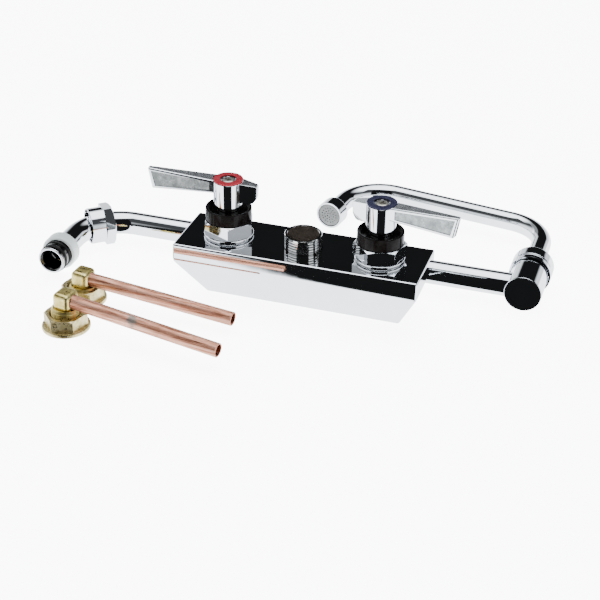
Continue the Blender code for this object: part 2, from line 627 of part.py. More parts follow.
def make_tail_nut():
    """Hexagonal swivel nut, loose on the bend, its thread facing the tail's mouth."""
    turn = math.radians(TAIL_NUT_TURN)
    centre_y = ARM1_Y - ARM1_BEND_R
    place = (ARM1_BEND_X - ARM1_BEND_R * math.sin(turn), centre_y + ARM1_BEND_R * math.cos(turn), SPOUT_Z)
    axis = add_frame("tail_nut_axis", place, up=(-math.cos(turn), -math.sin(turn), 0))
    corner = TAIL_NUT_FLATS / math.sqrt(3)
    small_end, shoulder, hex_end, mouth = -5.0, -2.5, 1.5, 11.5
    hole_r = ARM1_R + 1.3
    profile = [(hole_r, small_end), (corner - 1.6, small_end), (corner, small_end + 1.0),
               (corner, hex_end), (TAIL_NUT_R, hex_end), (TAIL_NUT_R, mouth - 0.4),
               (TAIL_NUT_R - 0.4, mouth), (TAIL_NUT_BORE_R, mouth),
               (TAIL_NUT_BORE_R, shoulder), (hole_r, shoulder)]
    # The frame's own turn is found from where straight down came to lie in it.
    down = axis.matrix_local.to_3x3().inverted() @ Vector((0, 0, -1))
    flat_down = math.degrees(math.atan2(down.y, down.x)) + 90
    make_nut("tail_nut", TAIL_NUT_FLATS, small_end - 1, hex_end + GAP, profile, axis, CHROME,
             flat_down + TAIL_NUT_ROLL)


def make_joint():
    """The elbow joint, drawn from its closed face (height 0) along +Y; arm 2 turns in it."""
    fixed = add_frame("joint_axis", (JOINT_X, JOINT_FACE_Y, SPOUT_Z), up=(0, 1, 0))
    plug_r = JOINT_BORE_R - GAP
    rim = 0.8
    smooth(add_piece("joint_cap", turned([(0, 0), (JOINT_R - 0.4, 0), (JOINT_R, 0.4), (JOINT_R, rim),
                                          (plug_r, rim), (plug_r, 3.6), (0, 3.6)]), fixed, CHROME))
    low, thread = rim + GAP, JOINT_NUT_Z[0] - 0.6
    profile = [(JOINT_BORE_R, low), (JOINT_R, low), (JOINT_R, thread),
               (JOINT_R - 0.4, thread + 0.4), (JOINT_R - 0.4, JOINT_TOP), (JOINT_BORE_R, JOINT_TOP)]
    body = add_piece("joint_body", turned(profile), fixed, CHROME)
    inward = fixed.matrix_local.to_3x3().inverted() @ Vector((-1, 0, 0))
    socket = Vector((0, 0, JOINT_SIDE))
    smooth(combine(body, rod(ARM1_R + GAP, socket + inward * JOINT_BORE_R / 2,
                             socket + inward * JOINT_R * 2, SIDES)))

    low, high = JOINT_NUT_Z
    lip = low + 8.1
    lip_r = STUB_NECK_R + GAP
    nut_profile = [(JOINT_R + GAP, low), (JOINT_NUT_R - 0.5, low), (JOINT_NUT_R, low + 0.5),
                   (JOINT_NUT_R, low + 3.4), (JOINT_NUT_R - 0.7, low + 3.8),
                   (JOINT_NUT_R - 0.7, low + 4.6), (JOINT_NUT_R, low + 5.0),
                   (JOINT_NUT_R, high - 1.6), (JOINT_NUT_R - 1.4, high),
                   (lip_r, high), (lip_r, lip), (JOINT_R + GAP, lip)]
    smooth(add_piece("joint_nut", turned(nut_profile), fixed, CHROME))
    make_swing(lip)


def make_swing(lip):
    """Arm 2 and what turns with it, all on the joint's axis; `lip` is the nut's inner shoulder."""
    turning = add_frame("swing_axis", (JOINT_X, JOINT_FACE_Y, SPOUT_Z), up=(0, 1, 0))
    bore = ARM2_BORE_R
    stub_r = JOINT_BORE_R - 0.4
    groove_r = stub_r - 1.3
    groove = (STUB_FOOT + 2.5, STUB_FOOT + 5.1)
    flange_r = JOINT_R - 0.7
    flange = (JOINT_TOP + GAP, JOINT_TOP + 2.6)
    socket_r = ARM2_R + GAP
    socket_floor = STUB_TOP - STUB_SOCKET
    stub = [(bore, STUB_FOOT), (stub_r, STUB_FOOT), (stub_r, groove[0]), (groove_r, groove[0]),
            (groove_r, groove[1]), (stub_r, groove[1]), (stub_r, flange[0]), (flange_r, flange[0]),
            (flange_r, flange[1]), (STUB_NECK_R, flange[1]), (STUB_NECK_R, STUB_TOP - 0.6),
            (STUB_NECK_R - 0.6, STUB_TOP), (socket_r, STUB_TOP), (socket_r, socket_floor),
            (bore, socket_floor)]
    smooth(add_piece("swing_stub", turned(stub), turning, CHROME))
    seal = rounded_ring((groove_r + JOINT_BORE_R) / 2, 0.72, 1.0, sum(groove) / 2)
    smooth(add_piece("joint_ring", seal, turning, NITRILE))
    smooth(add_piece("joint_washer", ring(STUB_NECK_R + GAP, JOINT_R - GAP, flange[1] + GAP, lip - GAP),
                     turning, NYLON))

    lean = math.radians(ARM2_TURN)
    run = Vector((-math.cos(lean), math.sin(lean), 0))
    drop = Vector((-math.sin(lean), -math.cos(lean), 0))
    start = Vector((JOINT_X, JOINT_FACE_Y + socket_floor + GAP, SPOUT_Z))
    first = Vector((JOINT_X, ARM2_CORNER_Y, SPOUT_Z))
    second = first + run * ARM2_RUN
    face = second + drop * ARM2_DROP
    end = face - drop * (AERATOR_SEAT + 0.4)
    path = bend_path([start, first, second, end], ARM2_BEND_R)
    tube = bent_pipe(path, ARM2_R, ARM2_BORE_R)
    bmesh.ops.transform(tube, verts=tube.verts, matrix=to_frame(turning))
    smooth(add_piece("arm2_tube", tube, turning, CHROME))
    make_aerator(turning, face, drop)


def to_frame(frame):
    """Matrix from world millimetres to a frame's own millimetres."""
    matrix = frame.matrix_local.copy()
    matrix.translation /= MM
    return matrix.inverted()


def make_aerator(turning, face, drop):
    """Screw-on aerator, drawn from its face (height 0) back up the tube."""
    local = to_frame(turning)
    mouth = add_frame("aerator_axis", local @ face, up=local.to_3x3() @ -drop, parent=turning)
    step = AERATOR_SEAT
    wall_r = AERATOR_R - 1.4
    insert_r = wall_r - GAP
    housing = [(wall_r, 0), (AERATOR_R - 0.5, 0), (AERATOR_R, 0.5), (AERATOR_R, AERATOR_LENGTH - 1.2),
               (AERATOR_R - 0.9, AERATOR_LENGTH), (ARM2_R + GAP, AERATOR_LENGTH), (ARM2_R + GAP, step),
               (wall_r, step)]
    smooth(add_piece("aerator_housing", turned(housing), mouth, CHROME))
    smooth(add_piece("aerator_washer", ring(ARM2_BORE_R - 0.6, insert_r, step - 0.9, step - 0.2),
                     mouth, NITRILE))
    insert = add_piece("aerator_insert", turned(ring_profile(0, insert_r, 0.5, step - 1.2)),
                       mouth, GREY_PLASTIC)
    for hole in range(AERATOR_HOLES):
        turn = math.tau * hole / AERATOR_HOLES
        place = Vector((math.cos(turn), math.sin(turn), 0)) * (insert_r - 3)
        combine(insert, rod(0.9, place, place + Vector((0, 0, step)), 6))
    smooth(insert)


# ---------------------------------------------------------------- supply inlets

def make_supply(side, centre, shank_z, heading, droop, reach):
    nut_axis = add_frame(f"{side}_nut_axis", (*centre, FLOOR))
    corner = FLANGE_NUT_FLATS / math.sqrt(3)
    step, top = FLANGE_THICKNESS, FLANGE_NUT_HEIGHT
    profile = [(FLANGE_NUT_BORE_R, FLOOR), (FLANGE_R - 0.4, FLOOR), (FLANGE_R, 0.4),
               (FLANGE_R, step - 0.8), (FLANGE_R - 0.6, step), (corner, step),
               (corner, top - 1.0), (corner - 1.4, top), (FLANGE_NUT_BORE_R + 0.4, top),
               (FLANGE_NUT_BORE_R, top - 0.6)]
    make_nut(f"{side}_flange_nut", FLANGE_NUT_FLATS, step + 0.3, top + 1, profile, nut_axis, BRASS,
             FLANGE_NUT_SPIN)

    tilted = add_frame(f"{side}_elbow_axis")
    tilted.matrix_local = (Matrix.Translation(Vector((*centre, shank_z)) * MM)
                           @ Matrix.Rotation(math.radians(heading), 4, "Z")
                           @ Matrix.Rotation(math.radians(droop), 4, "Y"))
    low, high = -SHANK_HALF, SHANK_HALF
    shank = [(0, low), (SHANK_R - 0.5, low), (SHANK_R, low + 0.5),
             (SHANK_R, high - 0.6), (SHANK_R - 1.2, high + 0.4), (0, high + 0.4)]
    elbow = add_piece(f"{side}_elbow", turned(shank), tilted, BRASS)
    head = block((ELBOW_X[0], -ELBOW_HALF_WIDTH, high),
                 (ELBOW_X[1], ELBOW_HALF_WIDTH, high + ELBOW_HEIGHT), 1.0)
    combine(elbow, head, "UNION")
    way = SUPPLY_TUBE_BORE_R
    start = ELBOW_X[1] - ELBOW_SOCKET
    combine(elbow, rod(SHANK_BORE_R, (0, 0, low - 1), (0, 0, high)))
    combine(elbow, rod(way - 0.4, (0, 0, high - 1), (0, 0, ELBOW_WAY_Z)))
    combine(elbow, rod(way, (-way, 0, ELBOW_WAY_Z), (start + 0.7, 0, ELBOW_WAY_Z)))
    combine(elbow, rod(SUPPLY_TUBE_R + GAP, (start - GAP, 0, ELBOW_WAY_Z),
                       (ELBOW_X[1] + 1, 0, ELBOW_WAY_Z)))
    smooth(elbow)
    path = [(Vector((x, 0, ELBOW_WAY_Z)), Vector((1, 0, 0))) for x in (start, reach)]
    tube = bent_pipe(path, SUPPLY_TUBE_R, way)
    smooth(add_piece(f"{side}_supply_tube", tube, tilted, COPPER))


def main():
    clear_scene()
    make_body()
    make_valve("hot", -VALVE_X, HOT_ANGLE, RED, HOT_BONNET_SPIN)
    make_valve("cold", VALVE_X, COLD_ANGLE, BLUE, COLD_BONNET_SPIN)
    make_arm1()
    make_tail()
    make_tail_nut()
    make_joint()
    for side, layout in SUPPLIES.items():
        make_supply(side, *layout)


main()
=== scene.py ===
"""Looks, light and camera for the splash-mount faucet kit.

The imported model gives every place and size. The turned, bent and cast pieces that show are
drawn again here with round surfaces and rolled edges, and the hidden ones get materials only.
Shapes are drawn in millimetres in their own frames, and then set in place in metres.
"""
import json
import math

import bmesh
import bpy
from mathutils import Matrix, Vector


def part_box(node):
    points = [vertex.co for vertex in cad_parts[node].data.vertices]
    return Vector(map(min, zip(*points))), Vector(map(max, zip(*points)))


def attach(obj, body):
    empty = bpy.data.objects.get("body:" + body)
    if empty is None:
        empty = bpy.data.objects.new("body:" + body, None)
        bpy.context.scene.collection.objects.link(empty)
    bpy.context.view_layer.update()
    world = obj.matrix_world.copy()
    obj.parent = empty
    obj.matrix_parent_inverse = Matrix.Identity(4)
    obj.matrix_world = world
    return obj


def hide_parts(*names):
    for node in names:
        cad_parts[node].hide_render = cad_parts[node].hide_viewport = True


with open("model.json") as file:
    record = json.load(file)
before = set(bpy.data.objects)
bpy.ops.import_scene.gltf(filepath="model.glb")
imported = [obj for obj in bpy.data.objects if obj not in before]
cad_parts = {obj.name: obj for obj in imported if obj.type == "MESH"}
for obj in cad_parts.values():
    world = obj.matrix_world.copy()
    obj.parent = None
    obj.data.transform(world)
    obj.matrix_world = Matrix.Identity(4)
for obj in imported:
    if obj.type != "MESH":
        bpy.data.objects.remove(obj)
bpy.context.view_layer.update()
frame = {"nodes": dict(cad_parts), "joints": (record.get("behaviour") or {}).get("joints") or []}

MM = 0.001            # metres in a millimetre
GAP = 0.3             # air between two pieces that touch
PAST = 1.0            # how far a cutter reaches past a face

# How finely round shapes are drawn
SIDES = 96
PIPE_SIDES = 64
SCREW_SIDES = 64
HOLE_SIDES = 10
RING_SECTION = 20
BEND_STEP = 3.0       # degrees

nodes = frame["nodes"]
joints = {joint["name"]: joint for joint in frame["joints"]}


def joint_point(name):
    """A joint's point, in millimetres."""
    return Vector(joints[name]["pos_m"]) / MM


def box_mm(node):
    low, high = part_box(node)
    return low / MM, high / MM


# ---- sizes, in millimetres

# Body: the front face slants back from an upright band to the base
body_low, body_high = box_mm("body_casting")
BODY_HEIGHT = body_high.z
BODY_HALF = body_high.x
BODY_FRONT_Y = body_low.y
WALL_Y = body_high.y
BAND_Z = BODY_HEIGHT - 12.0
BASE_HALF = 66.0
BASE_FRONT_Y = -2.9
EDGE_ROUND = 1.3
EDGE_ANGLE = 0.3      # edges that turn less, in radians, stay unrolled
BAND_ROUND = 2.8      # how softly the slanted face turns into the band
BAND_STEPS = 6
BAND_LEVELS = 8
BAND_UPRIGHT = 4.5    # the band stands upright up to here, and then leans back
BAND_LEAN = 0.055
BAND_CURVE = 0.0042   # how fast the lean grows

# Outlet nipple, heights from the body's top face
NIPPLE_R = 12.2
NIPPLE_BORE_R = NIPPLE_R - 1.9
NIPPLE_STOP_R = NIPPLE_R - 3.6
NIPPLE_TOP = 10.0
NIPPLE_FOOT = 16.1    # how far its foot is below the top face
NIPPLE_STOP = 1.4     # thickness of the inward lip at its foot
NIPPLE_PITCH = 1.7
NIPPLE_THREAD_DEPTH = 0.05

# Waterways: INLET_Z is above the floor, and depths are from the face that each opens in
VALVE_CHAMBER_R = 10.8
VALVE_DEPTH = 22.6
INLET_Z = 13.0
INLET_WAY_R = 4.5
INLET_WAY_Y = -5.5
INLET_SOCKET_R = 9.6
INLET_SOCKET_DEPTH = 12.0
OUTLET_SOCKET_R = NIPPLE_R + GAP
OUTLET_SOCKET_DEPTH = NIPPLE_FOOT + GAP
OUTLET_CHAMBER_R = NIPPLE_STOP_R + 0.4
OUTLET_CHAMBER_DEPTH = 25.1

# Valve stack, heights from the body's top face
HOT = joint_point("hot_handle_turn")
COLD = joint_point("cold_handle_turn")
HOT_ANGLE = 186.2     # where each lever points, turned from +X about +Z
COLD_ANGLE = -12.3
HOT_BONNET_SPIN = -12.65
COLD_BONNET_SPIN = 17.0
WASHER_R = 16.2
SKIRT_R = VALVE_CHAMBER_R - GAP
CARTRIDGE_R = SKIRT_R - 2.6
NECK_R = 6.6
STEM_R = 3.9
BONNET_FLATS = 30.0
BONNET_FOOT = -9.0
BONNET_Z = (3.2, 12.5)
BONNET_ROOF = 2.0
TRIM_R = 15.0
TRIM_Z = (12.8, 20.9)
TRIM_DISH = 1.9       # how deep the ring's top is dished
HUB_R = 9.7
HUB_Z = (22.5, 39.6)
STEM_SOCKET_TOP = 35.5
INDEX_Z = (HUB_Z[1] + GAP, HUB_Z[1] + 1.0)

# Lever: lengths from the stem's axis; pairs go from the hub to the tip
BLADE_TIP = 53.0
BLADE_TIP_LOW = 50.3
BLADE_LOW_Z = (31.7, 29.3)
BLADE_TOP_Z = (40.3, 43.6)
BLADE_HALF = (5.6, 2.2)
BLADE_ROOT = 6.0
BLADE_ROUND = 1.1
PANEL_FRAME = 1.7     # plain border round the sunk side panel
PANEL_TIP_MARGIN = (0.4, 0.6)    # more border at the tip, low and high
PANEL_DEPTH = 0.5
FIN_TIP = 19.5
FIN_HALF = 2.6
FIN_ROUND = 0.45

# Handle screw
SCREW_HOLE_R = 1.9
SCREW_POCKET_R = 5.0
SCREW_POCKET_Z = 37.2
SCREW_HEAD_R = SCREW_POCKET_R - 0.9
SCREW_HEAD_Z = (SCREW_POCKET_Z + GAP, HUB_Z[1] + 0.5)
SCREW_DOME = (1.6, 1.0)          # how far the head's edge curves in, and down
SCREW_DOME_STEPS = 6
SCREW_LENGTH = 9.0
SCREW_SLOT_HALF = (2.3, 0.5)
SCREW_SLOT_DEPTH = 1.1

# Elbow joint of the spout, heights from its closed face
JOINT = joint_point("arm_swing")
SPOUT_Z = JOINT.z
ARM1_R = 8.0
JOINT_BORE_R = ARM1_R + 1.8
JOINT_R = JOINT_BORE_R + 2.5
JOINT_NUT_R = JOINT_R + 1.7
JOINT_SIDE = ARM1_R + 2.0        # up to arm 1's axis
JOINT_RIM = 0.8                  # thickness of the cap's rim
JOINT_PLUG = 3.6
JOINT_NECK_R = JOINT_R - 0.4     # where the collar nut turns on it
STUB_FOOT = JOINT_SIDE + ARM1_R + 3.5
JOINT_TOP = STUB_FOOT + 9.5
JOINT_NUT_Z = (JOINT_TOP - 4.0, JOINT_TOP + 12.0)
JOINT_NUT_LIP = 8.1

# Arm 1 and the plug-in tail, heights from the tail's mouth
ARM1_BORE_R = ARM1_R - 1.2
ARM1_Y = (box_mm("joint_body")[0].y - JOINT_RIM - GAP) + JOINT_SIDE
ARM1_BEND_X = -138.5
ARM1_BEND_R = 32.0
ARM1_END_Y = box_mm("arm1_tube")[0].y
TAIL_X = ARM1_BEND_X - ARM1_BEND_R
TAIL_MOUTH_Y = box_mm("tail_sleeve")[0].y
TAIL_R = ARM1_R + 1.35
TAIL_BORE_R = ARM1_R - 1.0
TAIL_MOUTH_R = TAIL_BORE_R + 1.0
TAIL_OVERLAP = 6.5               # how far the sleeve reaches over the tube
TAIL_GROOVES = (4.0, 9.6)        # ring centres
TAIL_GROOVE_HALF = 1.6
TAIL_LANDS_END = TAIL_GROOVES[1] + TAIL_GROOVE_HALF
TAIL_RING_R = TAIL_R + 0.6
TAIL_RING_HALF_HIGH = 1.35
BUSHING_R = ARM1_R + 4.0
BUSHING_LENGTH = 8.3

# Tail nut, heights from the point where it spins
TAIL_NUT_R = ARM1_R + 4.6        # its round end
TAIL_NUT_BORE_R = TAIL_NUT_R - 1.0
TAIL_NUT_FLATS = 2 * TAIL_NUT_R + 0.8
TAIL_NUT_HOLE_R = ARM1_R + 1.3
TAIL_NUT_ROLL = 8.0              # how far its lowest flat is from level, degrees
TAIL_NUT_Z = (-5.0, -2.5, 1.5, 11.5)     # small end, inner shoulder, hexagon's end, mouth

# Arm 2 and its stub, heights from the joint's closed face, and its aerator, from the mouth
ARM2_R = 6.75
ARM2_BORE_R = ARM2_R - 1.15
ARM2_BEND_R = 30.0
ARM2_TURN = 9.35                 # how far its long run leans from -X towards +Y, degrees
ARM2_CORNER_Y = 133.2
ARM2_RUN = 144.5
ARM2_DROP = 54.2
STUB_R = JOINT_BORE_R - 0.4
STUB_GROOVE_R = JOINT_BORE_R - 1.7
STUB_GROOVE_Z = (STUB_FOOT + 2.5, STUB_FOOT + 5.1)
STUB_FLANGE_R = JOINT_R - 0.7
STUB_FLANGE_Z = (JOINT_TOP + GAP, JOINT_TOP + 2.6)
STUB_NECK_R = ARM2_R + 1.95
STUB_TOP = JOINT_NUT_Z[1] + 3.0
STUB_FLOOR = STUB_TOP - 7.8      # where arm 2 ends in it
AERATOR_R = ARM2_R + 3.15
AERATOR_WALL_R = AERATOR_R - 1.4
AERATOR_INSERT_R = AERATOR_R - 1.7
AERATOR_INSERT_Z = (0.5, 4.4)
AERATOR_LENGTH = 11.5
AERATOR_SEAT = 5.6
AERATOR_HOLES = ((5.4, 16), (3.4, 10), (1.5, 5))      # radius of each ring of holes, and their number
AERATOR_HOLE_R = 0.42
AERATOR_HOLE_DEPTH = 1.4

# Supply inlets: flange nut, brass elbow and copper tube
FLANGE_R = 15.6
FLANGE_THICKNESS = 2.4
FLANGE_NUT_FLATS = 24.6
FLANGE_NUT_HEIGHT = 10.6
FLANGE_NUT_SPIN = 14.0
SHANK_R = 9.1
SHANK_BORE_R = 6.2
SHANK_HALF = 5.0
FLANGE_NUT_BORE_R = SHANK_R + 0.9
SUPPLY_TUBE_R = 4.6
SUPPLY_TUBE_BORE_R = SUPPLY_TUBE_R - 0.9
ELBOW_X = (-5.8, 6.4)
ELBOW_HALF_WIDTH = SUPPLY_TUBE_R + 2.2
ELBOW_HEIGHT = 2 * SUPPLY_TUBE_R + 2.3
ELBOW_ROUND = 3.0
ELBOW_WAY_Z = SHANK_HALF + SUPPLY_TUBE_R + 0.9
ELBOW_SOCKET_X = ELBOW_X[1] - 5.7
SUPPLIES = {
    # name: nut centre, middle of the shank above the floor, heading, droop, reach of the tube
    "front": (joint_point("front_nut_spin"), 9.8, -8.4, 3.2, 110.8),
    "rear": (joint_point("rear_nut_spin"), FLANGE_NUT_HEIGHT - SHANK_HALF + GAP, -3.9, 3.6, 107.8),
}


# ---- shapes

def turned(profile, sides=SIDES):
    """Spins a (radius, height) outline; one that starts off the axis is closed first."""
    shape = bmesh.new()
    points = [shape.verts.new((radius, 0, height)) for radius, height in profile]
    edges = [shape.edges.new(pair) for pair in zip(points, points[1:])]
    if profile[0][0] > 0:
        edges.append(shape.edges.new((points[-1], points[0])))
    bmesh.ops.spin(shape, geom=points + edges, axis=(0, 0, 1), cent=(0, 0, 0),
                   angle=math.tau, steps=sides, use_merge=True)
    bmesh.ops.remove_doubles(shape, verts=shape.verts, dist=0.0005)
    middles = [vert for vert in shape.verts if vert.co.xy.length < 0.001]
    bmesh.ops.dissolve_verts(shape, verts=middles)
    bmesh.ops.recalc_face_normals(shape, faces=shape.faces)
    return shape


def soft_corner(start, corner, end, steps):
    """Points of a curve that leaves `start` for `corner` and bends over to `end`."""
    points = []
    for step in range(steps + 1):
        t = step / steps
        points.append(start * (1 - t) ** 2 + corner * 2 * t * (1 - t) + end * t ** 2)
    return points


def rounded(corners, radius=0.3, steps=3):
    """Rounds every corner of a closed (radius, height) outline, except those on the axis."""
    result = []
    count = len(corners)
    for index, corner in enumerate(corners):
        here = Vector(corner)
        before = Vector(corners[index - 1])
        after = Vector(corners[(index + 1) % count])
        arrive, leave = here - before, after - here
        on_axis = here.x < 0.01
        doubled = arrive.length < 1e-6 or leave.length < 1e-6
        if on_axis or doubled or arrive.angle(leave) < 0.2:
            result.append(tuple(here))
            continue
        reach = min(radius, arrive.length * 0.45, leave.length * 0.45)
        start = here - arrive.normalized() * reach
        end = here + leave.normalized() * reach
        result += [tuple(point) for point in soft_corner(start, here, end, steps)]
    return result


def rod(radius, start, end, sides=SIDES):
    start, end = Vector(start), Vector(end)
    length = (end - start).length
    shape = turned([(0, 0), (radius, 0), (radius, length), (0, length)], sides)
    aim = Vector((0, 0, 1)).rotation_difference(end - start).to_matrix().to_4x4()
    bmesh.ops.transform(shape, matrix=Matrix.Translation(start) @ aim, verts=shape.verts)
    return shape


def roll_edges(shape, edges, width, segments):
    bmesh.ops.bevel(shape, geom=edges, offset=width, segments=segments, profile=0.5, affect="EDGES")


def block(low, high, round_by=0.0):
    shape = bmesh.new()
    low, high = Vector(low), Vector(high)
    size = Matrix.Diagonal((*(high - low), 1))
    bmesh.ops.create_cube(shape, size=1, matrix=Matrix.Translation((low + high) / 2) @ size)
    if round_by:
        roll_edges(shape, shape.edges[:], round_by, 4)
    return shape


def join_loops(shape, loops, closed):
    """Skins equal loops one to the next, and closes the first and last on each other or with caps."""
    pairs = list(zip(loops, loops[1:]))
    if closed:
        pairs.append((loops[-1], loops[0]))
    else:
        shape.faces.new(loops[0])
        shape.faces.new(loops[-1])
    for one, two in pairs:
        for index in range(len(one)):
            after = (index + 1) % len(one)
            shape.faces.new((one[index], one[after], two[after], two[index]))
    bmesh.ops.recalc_face_normals(shape, faces=shape.faces)


def hexagon_sleeve(flats, low, high, spin):
    """Cutter that leaves a hexagon, with one corner turned by `spin` degrees."""
    shape = bmesh.new()
    turns = [math.tau * step / 6 + math.radians(spin) for step in range(6)]
    corner = flats / math.sqrt(3)

    def rim(radius, height):
        return [shape.verts.new((radius * math.cos(turn), radius * math.sin(turn), height))
                for turn in turns]

    loops = [rim(corner, low), rim(corner, high), rim(2 * corner, high), rim(2 * corner, low)]
    join_loops(shape, loops, closed=True)
    return shape


def bent_pipe(path, outer, bore):
    """A pipe along level stations, with its two cut ends slightly rounded."""
    lip = 0.25
    shape = bmesh.new()

    def rims(radius, order):
        loops = []
        for point, direction in order:
            across = Vector((-direction.y, direction.x, 0)).normalized()
            turns = [math.tau * step / PIPE_SIDES for step in range(PIPE_SIDES)]
            spokes = [across * math.cos(turn) + Vector((0, 0, math.sin(turn))) for turn in turns]
            loops.append([shape.verts.new(point + radius * spoke) for spoke in spokes])
        return loops

    (first, first_way), (last, last_way) = path[0], path[-1]
    middle = path[1:-1]
    outside = [(first + first_way * lip, first_way), *middle, (last - last_way * lip, last_way)]
    loops = rims(outer, outside)
    loops += rims(outer - lip, [(last, last_way)])
    loops += rims(bore + lip, [(last, last_way)])
    loops += rims(bore, outside[::-1])
    loops += rims(bore + lip, [(first, first_way)])
    loops += rims(outer - lip, [(first, first_way)])
    join_loops(shape, loops, closed=True)
    return shape


def bend_path(corners, bend_radius):
    """Stations (point and direction) along level straights, joined by arcs of one radius."""
    corners = [Vector(corner) for corner in corners]
    stations = [(corners[0], (corners[1] - corners[0]).normalized())]
    for before, corner, after in zip(corners, corners[1:], corners[2:]):
        arrive = (corner - before).normalized()
        leave = (after - corner).normalized()
        turn = arrive.angle(leave)
        side = 1 if arrive.cross(leave).z > 0 else -1
        inward = Vector((-arrive.y, arrive.x, 0)) * side
        centre = corner - arrive * bend_radius * math.tan(turn / 2) + inward * bend_radius
        steps = math.ceil(math.degrees(turn) / BEND_STEP)
        for step in range(steps + 1):
            swing = Matrix.Rotation(side * turn * step / steps, 3, "Z")
            stations.append((centre - swing @ inward * bend_radius, swing @ arrive))
    stations.append((corners[-1], (corners[-1] - corners[-2]).normalized()))
    return stations


def oval_ring(middle, half_thick, half_high, height):
    turns = [math.tau * step / RING_SECTION for step in range(RING_SECTION)]
    return turned([(middle + half_thick * math.cos(turn), height + half_high * math.sin(turn))
                   for turn in turns])


def ridges(radius, low, high, pitch, depth):
    """Outer points of a thread drawn as round-topped ridges."""
    wave = ((0.08, 1.0), (0.30, 0.25), (0.42, 0.0), (0.60, 0.0), (0.72, 0.25), (0.94, 1.0))
    turns = max(1, int((high - low) / pitch))
    points = []
    span = (high - low) / turns
    for turn in range(turns):
        start = low + span * turn
        points += [(radius - depth * drop, start + part * span) for part, drop in wave]
    return points


def inner_thread(bore, depth, top, step, count):
    """Points of a thread in a bore, from its top down."""
    return [(bore + depth * (index % 2), top - step * index) for index in range(count)]


# ---- pieces

def solid(shape):
    """A working object, in millimetres in its own frame."""
    mesh = bpy.data.meshes.new("working")
    shape.to_mesh(mesh)
    shape.free()
    item = bpy.data.objects.new("working", mesh)
    bpy.context.scene.collection.objects.link(item)
    return item


def combine(item, shape, operation="DIFFERENCE"):
    """Cuts a shape out of a working object, or joins it on."""
    tool = solid(shape)
    step = item.modifiers.new("step", "BOOLEAN")
    step.operation = operation
    step.solver = "EXACT"
    step.object = tool
    bpy.context.view_layer.update()
    graph = bpy.context.evaluated_depsgraph_get()
    result = bpy.data.meshes.new_from_object(item.evaluated_get(graph))
    item.modifiers.clear()
    item.data = result
    bpy.data.objects.remove(tool, do_unlink=True)
    return item


def place_piece(item, node, place, body, material, roll=0.0, sharp=32):
    """Sets a working object in place of one of the model's nodes, and rides it on a body."""
    item.name = item.data.name = f"{node}_fine"
    item.data.transform(place @ Matrix.Scale(MM, 4))
    item.data.materials.clear()
    item.data.materials.append(material)
    item.data.shade_smooth()
    if roll:
        edge = item.modifiers.new("rolled edges", "BEVEL")
        edge.width = roll * MM
        edge.segments = 3
        edge.limit_method = "ANGLE"
        edge.angle_limit = math.radians(30)
    else:
        item.data.set_sharp_from_angle(angle=math.radians(sharp))
    even = item.modifiers.new("even shading", "WEIGHTED_NORMAL")
    even.keep_sharp = True
    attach(item, body)
    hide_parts(node)


def paint_faces(item, faces, material):
    """Gives some faces of a placed piece a material of their own."""
    item.data.materials.append(material)
    for index in faces:
        item.data.polygons[index].material_index = len(item.data.materials) - 1


def spot(point, up=(0, 0, 1), heading=0.0):
    """A frame at a point in millimetres, with +Z along `up`."""
    turn = Vector((0, 0, 1)).rotation_difference(Vector(up)).to_matrix().to_4x4()
    spin = Matrix.Rotation(math.radians(heading), 4, "Z")
    return Matrix.Translation(Vector(point) * MM) @ turn @ spin


# ---- materials

